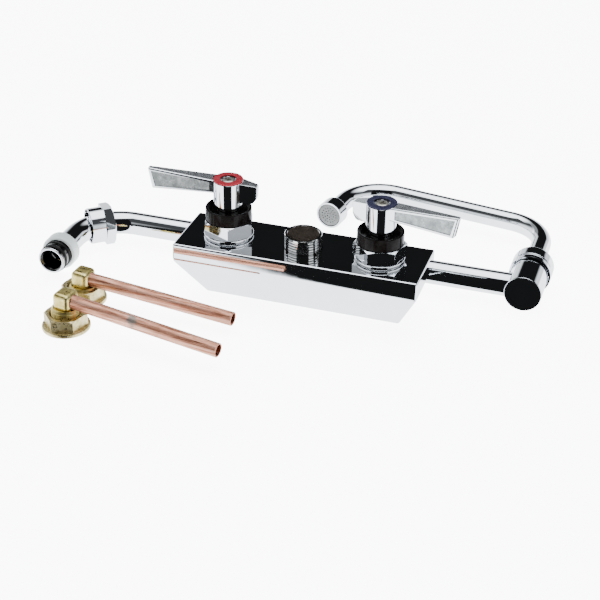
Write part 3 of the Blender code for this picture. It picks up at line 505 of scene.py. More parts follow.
class Paint:
    """A Principled material with helpers for its node tree."""

    def __init__(self, name, metallic, roughness, colour):
        self.material = bpy.data.materials.new(name)
        self.material.use_nodes = True
        self.tree = self.material.node_tree
        self.surface = self.tree.nodes["Principled BSDF"]
        self.surface.inputs["Metallic"].default_value = metallic
        self.surface.inputs["Roughness"].default_value = roughness
        self.surface.inputs["Base Color"].default_value = (*colour, 1)
        self.place = self.add("ShaderNodeTexCoord").outputs["Object"]

    def add(self, kind, **values):
        node = self.tree.nodes.new(kind)
        for key, value in values.items():
            setattr(node, key, value)
        return node

    def link(self, source, target):
        self.tree.links.new(source, target)

    def noise(self, scale, detail=4.0, rough=0.55, stretch=None, turn=(0, 0, 0)):
        """Noise with `scale` features in a metre, squeezed along an axis by `stretch`."""
        node = self.add("ShaderNodeTexNoise")
        node.inputs["Scale"].default_value = scale
        node.inputs["Detail"].default_value = detail
        node.inputs["Roughness"].default_value = rough
        source = self.place
        if stretch:
            mapping = self.add("ShaderNodeMapping")
            mapping.vector_type = "TEXTURE"
            mapping.inputs["Rotation"].default_value = turn
            mapping.inputs["Scale"].default_value = stretch
            self.link(source, mapping.inputs["Vector"])
            source = mapping.outputs["Vector"]
        self.link(source, node.inputs["Vector"])
        return node.outputs["Fac"]

    def ramp(self, source, stops):
        node = self.add("ShaderNodeValToRGB")
        elements = node.color_ramp.elements
        while len(elements) < len(stops):
            elements.new(0.5)
        for element, (position, colour) in zip(elements, stops):
            element.position = position
            element.color = (*colour, 1)
        self.link(source, node.inputs["Fac"])
        return node.outputs["Color"]

    def between(self, source, low, high, from_low=0.3, from_high=0.7):
        """Maps the span `from_low` to `from_high` on to `low` to `high`."""
        node = self.add("ShaderNodeMapRange")
        for key, value in (("From Min", from_low), ("From Max", from_high),
                           ("To Min", low), ("To Max", high)):
            node.inputs[key].default_value = value
        self.link(source, node.inputs["Value"])
        return node.outputs["Result"]

    def mix(self, factor, source, colour):
        """Blends from a source to a plain colour; the node's colour sockets are 6, 7 and 2."""
        node = self.add("ShaderNodeMix", data_type="RGBA")
        self.link(factor, node.inputs["Factor"])
        self.link(source, node.inputs[6])
        node.inputs[7].default_value = (*colour, 1)
        return node.outputs[2]

    def colour(self, source):
        self.link(source, self.surface.inputs["Base Color"])

    def roughness(self, source):
        self.link(source, self.surface.inputs["Roughness"])

    def bump(self, source, strength, distance):
        node = self.add("ShaderNodeBump")
        node.inputs["Strength"].default_value = strength
        node.inputs["Distance"].default_value = distance
        self.link(source, node.inputs["Height"])
        self.link(node.outputs["Normal"], self.surface.inputs["Normal"])


def chrome_paint(name, waviness=0.10, rough=(0.015, 0.045)):
    paint = Paint(name, 1.0, 0.04, (0.90, 0.92, 0.95))
    film = paint.noise(38, 5)
    paint.colour(paint.ramp(film, [(0.3, (0.84, 0.865, 0.90)), (0.7, (0.93, 0.945, 0.965))]))
    paint.roughness(paint.between(paint.noise(160, 6, 0.65), *rough))
    paint.bump(paint.noise(90, 2, 0.4), waviness, 0.00025)
    return paint.material


def cast_paint():
    """Chrome over a sand-blasted casting: the sunk panels of the levers."""
    paint = Paint("cast_chrome", 1.0, 0.3, (0.72, 0.74, 0.75))
    grain = paint.noise(2200, 4, 0.7)
    clouds = [(0.30, (0.20, 0.21, 0.21)), (0.50, (0.34, 0.36, 0.36)), (0.70, (0.54, 0.56, 0.55))]
    paint.colour(paint.ramp(paint.noise(240, 6, 0.7), clouds))
    paint.roughness(paint.between(paint.noise(500, 3), 0.24, 0.40))
    paint.bump(grain, 0.30, 0.0003)
    return paint.material


def brass_paint(name, scale, stops, marks, depth):
    """Brass in uneven tones, with the grain of its mould or the marks of a lathe."""
    paint = Paint(name, 1.0, 0.3, (0.72, 0.60, 0.36))
    paint.colour(paint.ramp(paint.noise(scale, 6, 0.65), stops))
    paint.roughness(paint.between(paint.noise(420, 4), 0.22, 0.44))
    paint.bump(paint.noise(*marks), depth, 0.0003)
    return paint.material


def copper_paint(name, along, patch=None):
    """Drawn copper: long draw marks along the tube's heading, and a dull patch round one point."""
    paint = Paint(name, 1.0, 0.45, (0.84, 0.58, 0.48))
    turn = (0, 0, math.radians(along))
    draw = paint.noise(900, 4, 0.6, stretch=(40, 1, 1), turn=turn)
    cloud = paint.noise(70, 5, 0.6)
    stops = [(0.36, (0.22, 0.075, 0.042)), (0.47, (0.66, 0.30, 0.19)), (0.66, (0.92, 0.53, 0.39))]
    base = paint.ramp(draw, stops)
    stained = paint.mix(paint.between(cloud, 0.0, 0.30, 0.45, 0.72), base, (0.34, 0.15, 0.10))
    if patch is not None:
        away = paint.add("ShaderNodeVectorMath", operation="DISTANCE")
        paint.link(paint.place, away.inputs[0])
        away.inputs[1].default_value = patch
        ragged = paint.add("ShaderNodeMath", operation="MULTIPLY_ADD")
        paint.link(paint.noise(420, 4, 0.7, stretch=(4, 1, 1), turn=turn), ragged.inputs[0])
        ragged.inputs[1].default_value = 0.010
        paint.link(away.outputs["Value"], ragged.inputs[2])
        dull = paint.between(ragged.outputs[0], 0.9, 0.0, 0.0075, 0.0095)
        stained = paint.mix(dull, stained, (0.26, 0.23, 0.21))
    paint.colour(stained)
    paint.roughness(paint.between(cloud, 0.40, 0.55))
    paint.bump(draw, 0.35, 0.0002)
    return paint.material


def plain_paint(name, colour, roughness, vary=0.12, grain=900, bump=0.1, metallic=0.0, shine=0.5):
    """Plastic, rubber, ceramic or steel: a colour that varies slightly, and a fine grain."""
    paint = Paint(name, metallic, roughness, colour)
    dark = tuple(value * (1 - vary) for value in colour)
    light = tuple(min(1.0, value * (1 + vary) + 0.004) for value in colour)
    paint.colour(paint.ramp(paint.noise(120, 4), [(0.35, dark), (0.65, light)]))
    paint.roughness(paint.between(paint.noise(300, 4), roughness * 0.75, min(1.0, roughness * 1.3)))
    paint.bump(paint.noise(grain, 3), bump, 0.0002)
    paint.surface.inputs["Specular IOR Level"].default_value = shine
    return paint.material


CHROME = chrome_paint("chrome_plate")
TUBE_CHROME = chrome_paint("chrome_tube", 0.05)
SATIN = chrome_paint("satin_chrome", 0.03, (0.22, 0.30))
CAST = cast_paint()
CAST_BRASS = brass_paint("brass_cast", 260, [(0.28, (0.34, 0.26, 0.10)), (0.50, (0.62, 0.51, 0.25)),
                                             (0.74, (0.84, 0.74, 0.44))], (1400, 4, 0.7), 0.5)
BRASS = brass_paint("brass_machined", 150, [(0.25, (0.36, 0.26, 0.065)), (0.50, (0.66, 0.53, 0.19)),
                                            (0.78, (0.88, 0.77, 0.37))], (500, 3, 0.5, (1, 1, 8)), 0.18)
DULL_PATCH = (-0.0838, -0.0851, 0.0207)      # in metres, on the front supply tube
COPPERS = {
    "front": copper_paint("copper_front", SUPPLIES["front"][2], DULL_PATCH),
    "rear": copper_paint("copper_rear", SUPPLIES["rear"][2]),
}
BLACK = plain_paint("black_gloss_plastic", (0.0010, 0.0005, 0.0004), 0.10, bump=0.02, shine=0.05)
RUBBER = plain_paint("black_nitrile", (0.006, 0.006, 0.006), 0.26, bump=0.2, shine=0.08)
NYLON = plain_paint("white_nylon", (0.42, 0.46, 0.46), 0.35, vary=0.08)
CERAMIC = plain_paint("white_ceramic", (0.88, 0.87, 0.84), 0.15, vary=0.03)
STEEL = plain_paint("screw_steel", (0.50, 0.475, 0.42), 0.34, metallic=1.0, grain=2000)
DARK_METAL = plain_paint("dark_oily_metal", (0.16, 0.155, 0.15), 0.14, vary=0.3, metallic=1.0)
NICKEL = plain_paint("satin_nickel", (0.80, 0.79, 0.77), 0.09, vary=0.10, metallic=1.0, grain=1400)
DULL_BORE = plain_paint("dull_bore", (0.15, 0.125, 0.105), 0.3, vary=0.3, metallic=0.5, grain=1400)
RED = plain_paint("red_gloss_plastic", (0.21, 0.010, 0.018), 0.30, shine=0.3)
BLUE = plain_paint("blue_gloss_plastic", (0.011, 0.011, 0.030), 0.28, shine=0.3)
GREY = plain_paint("grey_mesh_plastic", (0.085, 0.09, 0.09), 0.5, grain=1800, bump=0.3)


# ---- body

def body_hull():
    """The casting's outside: its slanted face rolls into the band, and its corners are rolled."""
    shape = bmesh.new()
    turn, base = Vector((BODY_FRONT_Y, BAND_Z)), Vector((BASE_FRONT_Y, 0))
    above = turn + Vector((0, BAND_ROUND))
    below = turn + (base - turn).normalized() * BAND_ROUND
    front = [Vector((BODY_FRONT_Y, BODY_HEIGHT)), base, *soft_corner(above, turn, below, BAND_STEPS)]
    for y, z in [*front, (WALL_Y, 0), (WALL_Y, BAND_Z), (WALL_Y, BODY_HEIGHT)]:
        half_length = BODY_HALF + (BASE_HALF - BODY_HALF) * max(0, 1 - z / BAND_Z)
        for x in (-half_length, half_length):
            shape.verts.new((x, y, z))
    bmesh.ops.convex_hull(shape, input=shape.verts)
    bmesh.ops.dissolve_limit(shape, angle_limit=math.radians(1), verts=shape.verts, edges=shape.edges)
    corners = [edge for edge in shape.edges if edge.calc_face_angle(0) > EDGE_ANGLE]
    roll_edges(shape, corners, EDGE_ROUND, 6)
    return shape


def lean_band(shape):
    """Cuts the front band into levels, and leans its upper part back."""
    low, high = BAND_Z + BAND_ROUND, BODY_HEIGHT - EDGE_ROUND
    for level in range(1, BAND_LEVELS):
        height = low + (high - low) * level / BAND_LEVELS
        bmesh.ops.bisect_plane(shape, geom=shape.verts[:] + shape.edges[:] + shape.faces[:],
                               plane_co=(0, 0, height), plane_no=(0, 0, 1))
    for vert in shape.verts:
        rise = vert.co.z - BAND_Z - BAND_UPRIGHT
        if rise > 0 and vert.co.y < BODY_FRONT_Y + BAND_ROUND:
            vert.co.y += BAND_LEAN * rise + BAND_CURVE * rise ** 2


def make_body():
    shape = body_hull()
    lean_band(shape)
    casting = solid(shape)
    above = BODY_HEIGHT + PAST
    for x in (HOT.x, COLD.x):
        combine(casting, rod(VALVE_CHAMBER_R, (x, 0, BODY_HEIGHT - VALVE_DEPTH), (x, 0, above)))
        combine(casting, rod(INLET_WAY_R, (x, INLET_WAY_Y, INLET_Z), (x, WALL_Y - PAST, INLET_Z)))
        combine(casting, rod(INLET_SOCKET_R, (x, WALL_Y - INLET_SOCKET_DEPTH, INLET_Z),
                             (x, WALL_Y + PAST, INLET_Z)))
    combine(casting, rod(OUTLET_SOCKET_R, (0, 0, BODY_HEIGHT - OUTLET_SOCKET_DEPTH), (0, 0, above)))
    combine(casting, rod(OUTLET_CHAMBER_R, (0, 0, BODY_HEIGHT - OUTLET_CHAMBER_DEPTH), (0, 0, above)))
    place_piece(casting, "body_casting", Matrix.Identity(4), "faucet_body", CHROME)


def make_nipple():
    outline = [(NIPPLE_STOP_R, -NIPPLE_FOOT), (NIPPLE_R, -NIPPLE_FOOT), (NIPPLE_R, 1.0)]
    outline += ridges(NIPPLE_R, 1.3, NIPPLE_TOP - 1.3, NIPPLE_PITCH, NIPPLE_THREAD_DEPTH)
    outline += [(NIPPLE_R, NIPPLE_TOP - 1.1), (NIPPLE_R, NIPPLE_TOP - 0.35), (NIPPLE_R - 0.35, NIPPLE_TOP),
                (NIPPLE_BORE_R + 0.2, NIPPLE_TOP), (NIPPLE_BORE_R, NIPPLE_TOP - 0.2),
                (NIPPLE_BORE_R, NIPPLE_STOP - NIPPLE_FOOT), (NIPPLE_STOP_R, NIPPLE_STOP - NIPPLE_FOOT)]
    nipple = solid(turned(outline))
    inside = [face.index for face in nipple.data.polygons
              if face.center.xy.length < NIPPLE_BORE_R + 0.05]
    place_piece(nipple, "outlet_nipple", spot((0, 0, BODY_HEIGHT)), "faucet_body", NICKEL)
    paint_faces(nipple, inside, DULL_BORE)


# ---- valves

def taper(x, pair, tip):
    """A value that goes evenly from the blade's root to its tip."""
    return pair[0] + (pair[1] - pair[0]) * (x - BLADE_ROOT) / (tip - BLADE_ROOT)


def blade_half(x):
    return taper(abs(x), BLADE_HALF, BLADE_TIP)


def fin_half(x):
    return taper(abs(x), (BLADE_HALF[0], FIN_HALF), FIN_TIP)


def tapered_slab(outline, half_width, round_by, segments):
    """An (x, z) outline with its thickness given at each x, and its edges rolled."""
    shape = bmesh.new()
    sides = [[shape.verts.new((x, sign * half_width(x), z)) for x, z in outline] for sign in (-1, 1)]
    join_loops(shape, sides, closed=False)
    roll_edges(shape, shape.edges[:], round_by, segments)
    return shape


def panel_cutter(sign):
    """Sinks the panel on one side of the blade, inside a plain frame."""
    start = HUB_R + PANEL_FRAME
    end_low = BLADE_TIP_LOW - PANEL_FRAME - PANEL_TIP_MARGIN[0]
    end_high = BLADE_TIP - PANEL_FRAME - PANEL_TIP_MARGIN[1]
    outline = [(x, taper(x, BLADE_LOW_Z, BLADE_TIP) + PANEL_FRAME) for x in (start, end_low)]
    outline += [(x, taper(x, BLADE_TOP_Z, BLADE_TIP) - PANEL_FRAME) for x in (end_high, start)]
    shape = bmesh.new()
    sides = [[shape.verts.new((x, sign * (blade_half(x) + offset), z)) for x, z in outline]
             for offset in (-PANEL_DEPTH, 2 * PAST)]
    join_loops(shape, sides, closed=False)
    return shape


def make_lever(name, place, body):
    low, high = HUB_Z
    hub = [(STEM_R + GAP, low), (HUB_R, low), (HUB_R, high), (SCREW_POCKET_R, high),
           (SCREW_POCKET_R, SCREW_POCKET_Z), (SCREW_HOLE_R, SCREW_POCKET_Z),
           (SCREW_HOLE_R, STEM_SOCKET_TOP), (STEM_R + GAP, STEM_SOCKET_TOP)]
    blade = [(BLADE_ROOT, BLADE_LOW_Z[0]), (BLADE_TIP_LOW, BLADE_LOW_Z[1]),
             (BLADE_TIP, BLADE_TOP_Z[1]), (BLADE_ROOT, BLADE_TOP_Z[0])]
    fin = [(-BLADE_ROOT, 26.5), (-BLADE_ROOT, 39.9), (-FIN_TIP + 0.8, 37.6), (-FIN_TIP, 36.6),
           (-FIN_TIP + 0.4, 29.0), (-FIN_TIP + 2.6, 26.0), (-FIN_TIP + 4.2, 25.4)]
    lever = solid(turned(rounded(hub, 0.45)))
    combine(lever, tapered_slab(blade, blade_half, BLADE_ROUND, 6), "UNION")
    combine(lever, tapered_slab(fin, fin_half, FIN_ROUND, 3), "UNION")
    combine(lever, rod(HUB_R + 0.2, (0, 0, high), (0, 0, high + 6)))     # makes room for the index ring
    for sign in (-1, 1):
        combine(lever, panel_cutter(sign))
    blasted = [face.index for face in lever.data.polygons
               if face.center.x > HUB_R + 1 and abs(face.normal.y) > 0.9
               and abs(face.center.y) < blade_half(face.center.x) - PANEL_DEPTH / 2]
    tops = [face.index for face in lever.data.polygons
            if face.normal.z > 0.9 and face.center.z > BLADE_LOW_Z[0] and abs(face.center.x) > HUB_R]
    place_piece(lever, name, place, body, CHROME, sharp=28)
    paint_faces(lever, blasted, CAST)
    paint_faces(lever, tops, SATIN)


def make_screw(name, place, body):
    under, top = SCREW_HEAD_Z
    profile = [(0, under - SCREW_LENGTH), (1.6, under - SCREW_LENGTH), (1.6, under), (SCREW_HEAD_R, under)]
    for step in range(SCREW_DOME_STEPS + 1):
        turn = math.radians(90) * step / SCREW_DOME_STEPS
        profile.append((SCREW_HEAD_R - SCREW_DOME[0] * (1 - math.cos(turn)),
                        top - SCREW_DOME[1] * (1 - math.sin(turn))))
    profile.append((0, top))
    screw = solid(turned(profile, SCREW_SIDES))
    long, short = SCREW_SLOT_HALF
    for x, y in ((long, short), (short, long)):
        combine(screw, block((-x, -y, top - SCREW_SLOT_DEPTH), (x, y, top + PAST)))
    place_piece(screw, name, place, body, STEEL)


def make_valve(side, axis, angle, hex_spin, index_paint):
    fixed = spot((axis.x, 0, BODY_HEIGHT))
    turning = spot((axis.x, 0, BODY_HEIGHT), heading=angle)
    body, handle = "faucet_body", f"{side}_handle"
    low, high = GAP, BONNET_Z[0] - GAP
    washer = rounded([(SKIRT_R + 0.6, low), (WASHER_R, low), (WASHER_R, high), (SKIRT_R + 0.6, high)],
                     0.7, 5)
    place_piece(solid(turned(washer)), f"{side}_valve_washer", fixed, body, CHROME)

    low, high = BONNET_Z
    inner, corner = CARTRIDGE_R + GAP, BONNET_FLATS / math.sqrt(3)
    profile = [(inner, BONNET_FOOT), (SKIRT_R, BONNET_FOOT), (SKIRT_R, low), (corner - 1.5, low),
               (corner, low + 1.0), (corner, high - 1.0), (corner - 1.6, high - 0.25),
               (corner - 1.9, high), (NECK_R + GAP, high), (NECK_R + GAP, high - BONNET_ROOF),
               (inner, high - BONNET_ROOF)]
    bonnet = combine(solid(turned(profile)),
                     hexagon_sleeve(BONNET_FLATS, low - PAST, high + PAST, hex_spin))
    place_piece(bonnet, f"{side}_bonnet", fixed, body, CHROME, roll=0.35)

    low, high = TRIM_Z
    dish = high - TRIM_DISH
    trim = rounded([(NECK_R + GAP, low), (TRIM_R, low), (TRIM_R, high), (TRIM_R - 1.6, high),
                    (TRIM_R - 2.2, dish), (NECK_R + GAP, dish)], 0.5, 4)
    place_piece(solid(turned(trim)), f"{side}_trim_ring", fixed, body, BLACK)

    make_lever(f"{side}_lever", turning, handle)
    inner, outer = SCREW_POCKET_R + 0.3, HUB_R - 0.1
    low, high = INDEX_Z
    index = rounded([(inner, low), (outer, low), (outer, high), (inner, high)], 0.25)
    place_piece(solid(turned(index)), f"{side}_index_ring", turning, handle, index_paint)
    make_screw(f"{side}_handle_screw", turning, handle)


# ---- spout

def make_arm1():
    corners = [(JOINT.x - JOINT_BORE_R / 2, ARM1_Y, SPOUT_Z), (TAIL_X, ARM1_Y, SPOUT_Z),
               (TAIL_X, ARM1_END_Y, SPOUT_Z)]
    arm = solid(bent_pipe(bend_path(corners, ARM1_BEND_R), ARM1_R, ARM1_BORE_R))
    reach = 2 * ARM1_R
    combine(arm, rod(JOINT_BORE_R, (JOINT.x, ARM1_Y - reach, SPOUT_Z), (JOINT.x, ARM1_Y + reach, SPOUT_Z)))
    place_piece(arm, "arm1_tube", Matrix.Identity(4), "spout", TUBE_CHROME)


def make_tail():
    tail = spot((TAIL_X, TAIL_MOUTH_Y, SPOUT_Z), up=(0, 1, 0))
    socket = ARM1_END_Y - TAIL_MOUTH_Y - GAP
    length = socket + TAIL_OVERLAP
    profile = [(TAIL_BORE_R, 1.6), (TAIL_MOUTH_R, 1.0), (TAIL_MOUTH_R, 0), (TAIL_R - 0.4, 0),
               (TAIL_R, 0.5)]
    for middle in TAIL_GROOVES:
        low, high = middle - TAIL_GROOVE_HALF, middle + TAIL_GROOVE_HALF
        profile += [(TAIL_R, low), (ARM1_R, low), (ARM1_R, high), (TAIL_R, high)]
    profile += [(TAIL_R, length), (ARM1_R + GAP, length), (ARM1_R + GAP, socket), (TAIL_BORE_R, socket)]
    sleeve = solid(turned(rounded(profile, 0.25)))
    lands = [face.index for face in sleeve.data.polygons if face.center.z > 0.6
             and (face.center.xy.length > ARM1_R - 0.1 or face.center.z < TAIL_LANDS_END)]
    place_piece(sleeve, "tail_sleeve", tail, "spout", CHROME)
    paint_faces(sleeve, lands, DARK_METAL)

    half_thick = (TAIL_RING_R - ARM1_R - 0.1) / 2
    for name, middle in zip(("tail_ring_outer", "tail_ring_inner"), TAIL_GROOVES):
        ring = oval_ring(TAIL_RING_R - half_thick, half_thick, TAIL_RING_HALF_HIGH, middle)
        place_piece(solid(ring), name, tail, "spout", RUBBER)

    low = TAIL_LANDS_END + 0.4
    high = low + BUSHING_LENGTH
    bushing = rounded([(TAIL_R + GAP, low), (BUSHING_R, low), (BUSHING_R, high), (TAIL_R + GAP, high)],
                      0.7, 4)
    place_piece(solid(turned(bushing)), "tail_bushing", tail, "spout", NYLON)


def make_tail_nut():
    radius, bore, hole = TAIL_NUT_R, TAIL_NUT_BORE_R, TAIL_NUT_HOLE_R
    small_end, shoulder, hex_end, mouth = TAIL_NUT_Z
    corner = TAIL_NUT_FLATS / math.sqrt(3)
    axis = spot(joint_point("tail_nut_spin"), up=joints["tail_nut_spin"]["axis"])
    profile = [(hole, small_end), (corner - 1.6, small_end), (corner, small_end + 1.0),
               (corner, hex_end), (radius, hex_end), (radius, mouth - 0.4),
               (radius - 0.4, mouth), (bore + 0.2, mouth)]
    profile += inner_thread(bore, 0.4, mouth - 0.8, 1.1, 12)
    profile += [(bore, shoulder), (hole, shoulder)]
    down = axis.to_3x3().inverted() @ Vector((0, 0, -1))
    flat_down = math.degrees(math.atan2(down.y, down.x)) + 90
    nut = combine(solid(turned(profile)), hexagon_sleeve(TAIL_NUT_FLATS, small_end - PAST, hex_end + GAP,
                                                         flat_down + TAIL_NUT_ROLL))
    place_piece(nut, "tail_nut", axis, "tail_nut", CHROME, roll=0.3)


def make_joint():
    fixed = spot(JOINT, up=(0, 1, 0))
    plug = JOINT_BORE_R - GAP
    cap = [(0, 0), (JOINT_R - 0.35, 0), (JOINT_R - 0.1, 0.1), (JOINT_R, 0.35), (JOINT_R, JOINT_RIM),
           (plug, JOINT_RIM), (plug, JOINT_PLUG), (0, JOINT_PLUG)]
    place_piece(solid(turned(cap)), "joint_cap", fixed, "spout", CHROME)

    low, thread = JOINT_RIM + GAP, JOINT_NUT_Z[0] - 0.6
    profile = [(JOINT_BORE_R, low), (JOINT_R, low), (JOINT_R, thread), (JOINT_NECK_R, thread + 0.4),
               (JOINT_NECK_R, JOINT_TOP), (JOINT_BORE_R, JOINT_TOP)]
    sleeve = solid(turned(profile))
    inward = fixed.to_3x3().inverted() @ Vector((-1, 0, 0))
    socket = Vector((0, 0, JOINT_SIDE))
    combine(sleeve, rod(ARM1_R + GAP, socket + inward * JOINT_BORE_R / 2, socket + inward * JOINT_R * 2))
    place_piece(sleeve, "joint_body", fixed, "spout", TUBE_CHROME)

    low, high = JOINT_NUT_Z
    lip = low + JOINT_NUT_LIP
    inner, lip_r = JOINT_R + GAP, STUB_NECK_R + GAP
    groove_r = JOINT_NUT_R - 0.7
    nut = rounded([(inner, low), (JOINT_NUT_R, low), (JOINT_NUT_R, low + 3.4), (groove_r, low + 3.8),
                   (groove_r, low + 4.6), (JOINT_NUT_R, low + 5.0), (JOINT_NUT_R, high - 1.6),
                   (JOINT_NUT_R - 1.4, high), (lip_r, high), (lip_r, lip), (inner, lip)], 0.35)
    place_piece(solid(turned(nut)), "joint_nut", fixed, "spout", CHROME)


def make_stub():
    groove, flange, socket_r = STUB_GROOVE_Z, STUB_FLANGE_Z, ARM2_R + GAP
    stub = rounded([(ARM2_BORE_R, STUB_FOOT), (STUB_R, STUB_FOOT), (STUB_R, groove[0]),
                    (STUB_GROOVE_R, groove[0]), (STUB_GROOVE_R, groove[1]), (STUB_R, groove[1]),
                    (STUB_R, flange[0]), (STUB_FLANGE_R, flange[0]), (STUB_FLANGE_R, flange[1]),
                    (STUB_NECK_R, flange[1]), (STUB_NECK_R, STUB_TOP), (socket_r, STUB_TOP),
                    (socket_r, STUB_FLOOR), (ARM2_BORE_R, STUB_FLOOR)], 0.5)
    place_piece(solid(turned(stub)), "swing_stub", spot(JOINT, up=(0, 1, 0)), "swing_arm",
                CHROME)


def make_arm2():
    lean = math.radians(ARM2_TURN)
    run = Vector((-math.cos(lean), math.sin(lean), 0))
    drop = Vector((-math.sin(lean), -math.cos(lean), 0))
    start = Vector((JOINT.x, JOINT.y + STUB_FLOOR + GAP, SPOUT_Z))
    first = Vector((JOINT.x, ARM2_CORNER_Y, SPOUT_Z))
    second = first + run * ARM2_RUN
    face = second + drop * ARM2_DROP
    path = bend_path([start, first, second, face - drop * (AERATOR_SEAT + 0.4)], ARM2_BEND_R)
    place_piece(solid(bent_pipe(path, ARM2_R, ARM2_BORE_R)), "arm2_tube", Matrix.Identity(4), "swing_arm",
                TUBE_CHROME)
    make_aerator(spot(face, up=-drop))


def make_aerator(mouth):
    socket_r = ARM2_R + GAP
    housing = rounded([(AERATOR_WALL_R, 0), (AERATOR_R, 0), (AERATOR_R, AERATOR_LENGTH - 1.2),
                       (AERATOR_R - 0.9, AERATOR_LENGTH), (socket_r, AERATOR_LENGTH),
                       (socket_r, AERATOR_SEAT), (AERATOR_WALL_R, AERATOR_SEAT)], 0.4)
    place_piece(solid(turned(housing)), "aerator_housing", mouth, "swing_arm", CHROME)
    low, high = AERATOR_INSERT_Z
    insert_r = AERATOR_INSERT_R
    insert = solid(turned(rounded([(0, low), (insert_r, low), (insert_r, high), (0, high)], 0.3)))
    depth = Vector((0, 0, AERATOR_HOLE_DEPTH))
    for ring_r, count in AERATOR_HOLES:
        for hole in range(count):
            turn = math.tau * hole / count
            at = Vector((ring_r * math.cos(turn), ring_r * math.sin(turn), 0))
            combine(insert, rod(AERATOR_HOLE_R, at, at + depth, HOLE_SIDES))
    place_piece(insert, "aerator_insert", mouth, "swing_arm", GREY)


# ---- supply inlets

def make_flange_nut(side, centre):
    bore, step, top = FLANGE_NUT_BORE_R, FLANGE_THICKNESS, FLANGE_NUT_HEIGHT
    corner = FLANGE_NUT_FLATS / math.sqrt(3)
    profile = [(bore, 0.0), (FLANGE_R - 0.5, 0.0), (FLANGE_R - 0.12, 0.15), (FLANGE_R, 0.5),
               (FLANGE_R, step - 0.7), (FLANGE_R - 0.3, step - 0.1), (FLANGE_R - 0.9, step),
               (corner, step), (corner, top - 1.0), (corner - 1.4, top), (bore + 0.5, top)]
    profile += inner_thread(bore, 0.45, top - 0.5, 0.62, 16)
    nut = combine(solid(turned(profile)),
                  hexagon_sleeve(FLANGE_NUT_FLATS, step + 0.3, top + PAST, FLANGE_NUT_SPIN))
    place_piece(nut, f"{side}_flange_nut", spot((centre.x, centre.y, 0)), f"{side}_flange_nut",
                CAST_BRASS, roll=0.3)


def make_elbow(side, place):
    half, collar = SHANK_HALF, SHANK_HALF + 0.4
    shank = [(0, -half), (SHANK_R - 0.5, -half)]
    shank += ridges(SHANK_R, 0.4 - half, half - 0.7, 1.2, 0.4)
    shank += [(SHANK_R - 1.2, collar), (0, collar)]
    elbow = solid(turned(shank))
    low = (ELBOW_X[0], -ELBOW_HALF_WIDTH, half)
    high = (ELBOW_X[1], ELBOW_HALF_WIDTH, half + ELBOW_HEIGHT)
    combine(elbow, block(low, high, ELBOW_ROUND), "UNION")
    way, way_z, socket_x = SUPPLY_TUBE_BORE_R, ELBOW_WAY_Z, ELBOW_SOCKET_X
    combine(elbow, rod(SHANK_BORE_R, (0, 0, -half - PAST), (0, 0, half)))
    combine(elbow, rod(way - 0.4, (0, 0, half - PAST), (0, 0, way_z)))
    combine(elbow, rod(way, (-way, 0, way_z), (socket_x + 0.7, 0, way_z)))
    combine(elbow, rod(SUPPLY_TUBE_R + GAP, (socket_x - GAP, 0, way_z), (ELBOW_X[1] + PAST, 0, way_z)))
    place_piece(elbow, f"{side}_elbow", place, f"{side}_supply", BRASS)


def make_supply(side, centre, shank_z, heading, droop, reach):
    make_flange_nut(side, centre)
    tilted = (Matrix.Translation(Vector((centre.x, centre.y, shank_z)) * MM)
              @ Matrix.Rotation(math.radians(heading), 4, "Z")
              @ Matrix.Rotation(math.radians(droop), 4, "Y"))
    make_elbow(side, tilted)
    path = [(Vector((x, 0, ELBOW_WAY_Z)), Vector((1, 0, 0))) for x in (ELBOW_SOCKET_X, reach)]
    place_piece(solid(bent_pipe(path, SUPPLY_TUBE_R, SUPPLY_TUBE_BORE_R)), f"{side}_supply_tube", tilted,
                f"{side}_supply", COPPERS[side])


# ---- hidden pieces

def dress_hidden_nodes():
    """The pieces inside keep their modelled shape, with a finished material."""
    looks = {"joint_ring": RUBBER, "joint_washer": NYLON, "aerator_washer": RUBBER}
    for side in ("hot", "cold"):
        looks.update({f"{side}_cartridge": NICKEL, f"{side}_stem": BRASS, f"{side}_seat_seal": RUBBER,
                      f"{side}_stem_ring": RUBBER, f"{side}_fixed_disc": CERAMIC,
                      f"{side}_moving_disc": CERAMIC})
    for node, material in looks.items():
        for place in nodes[node].material_slots:
            place.material = material


# ---- light, floor and camera

FLOOR_SIZE = 20.0        # metres, as all lengths from here on
FLOOR_DROP = 0.0003      # keeps it clear of the undersides
FLOOR_GLOW = 8.0

# Strength of each lit part of the studio
TABLE_LIGHT = 3.6
OVERHEAD_LIGHT = 3.6
SIDE_LIGHT = 2.0
BEHIND_LIGHT = 1.4
CORNER_LIGHT = 0.35
FAINT_LIGHT = 0.012
STUDIO_TINT = (0.91, 0.957, 1.0)


def make_floor():
    shape = bmesh.new()
    bmesh.ops.create_grid(shape, x_segments=1, y_segments=1, size=FLOOR_SIZE)
    mesh = bpy.data.meshes.new("floor")
    shape.to_mesh(mesh)
    shape.free()
    floor = bpy.data.objects.new("floor", mesh)
    bpy.context.scene.collection.objects.link(floor)
    floor.location.z = -FLOOR_DROP
    paint = Paint("floor_paper", 0.0, 0.9, (0.93, 0.94, 0.95))
    paint.surface.inputs["Emission Color"].default_value = (1, 1, 1, 1)
    paint.surface.inputs["Emission Strength"].default_value = FLOOR_GLOW
    floor.data.materials.append(paint.material)
    floor.visible_glossy = False


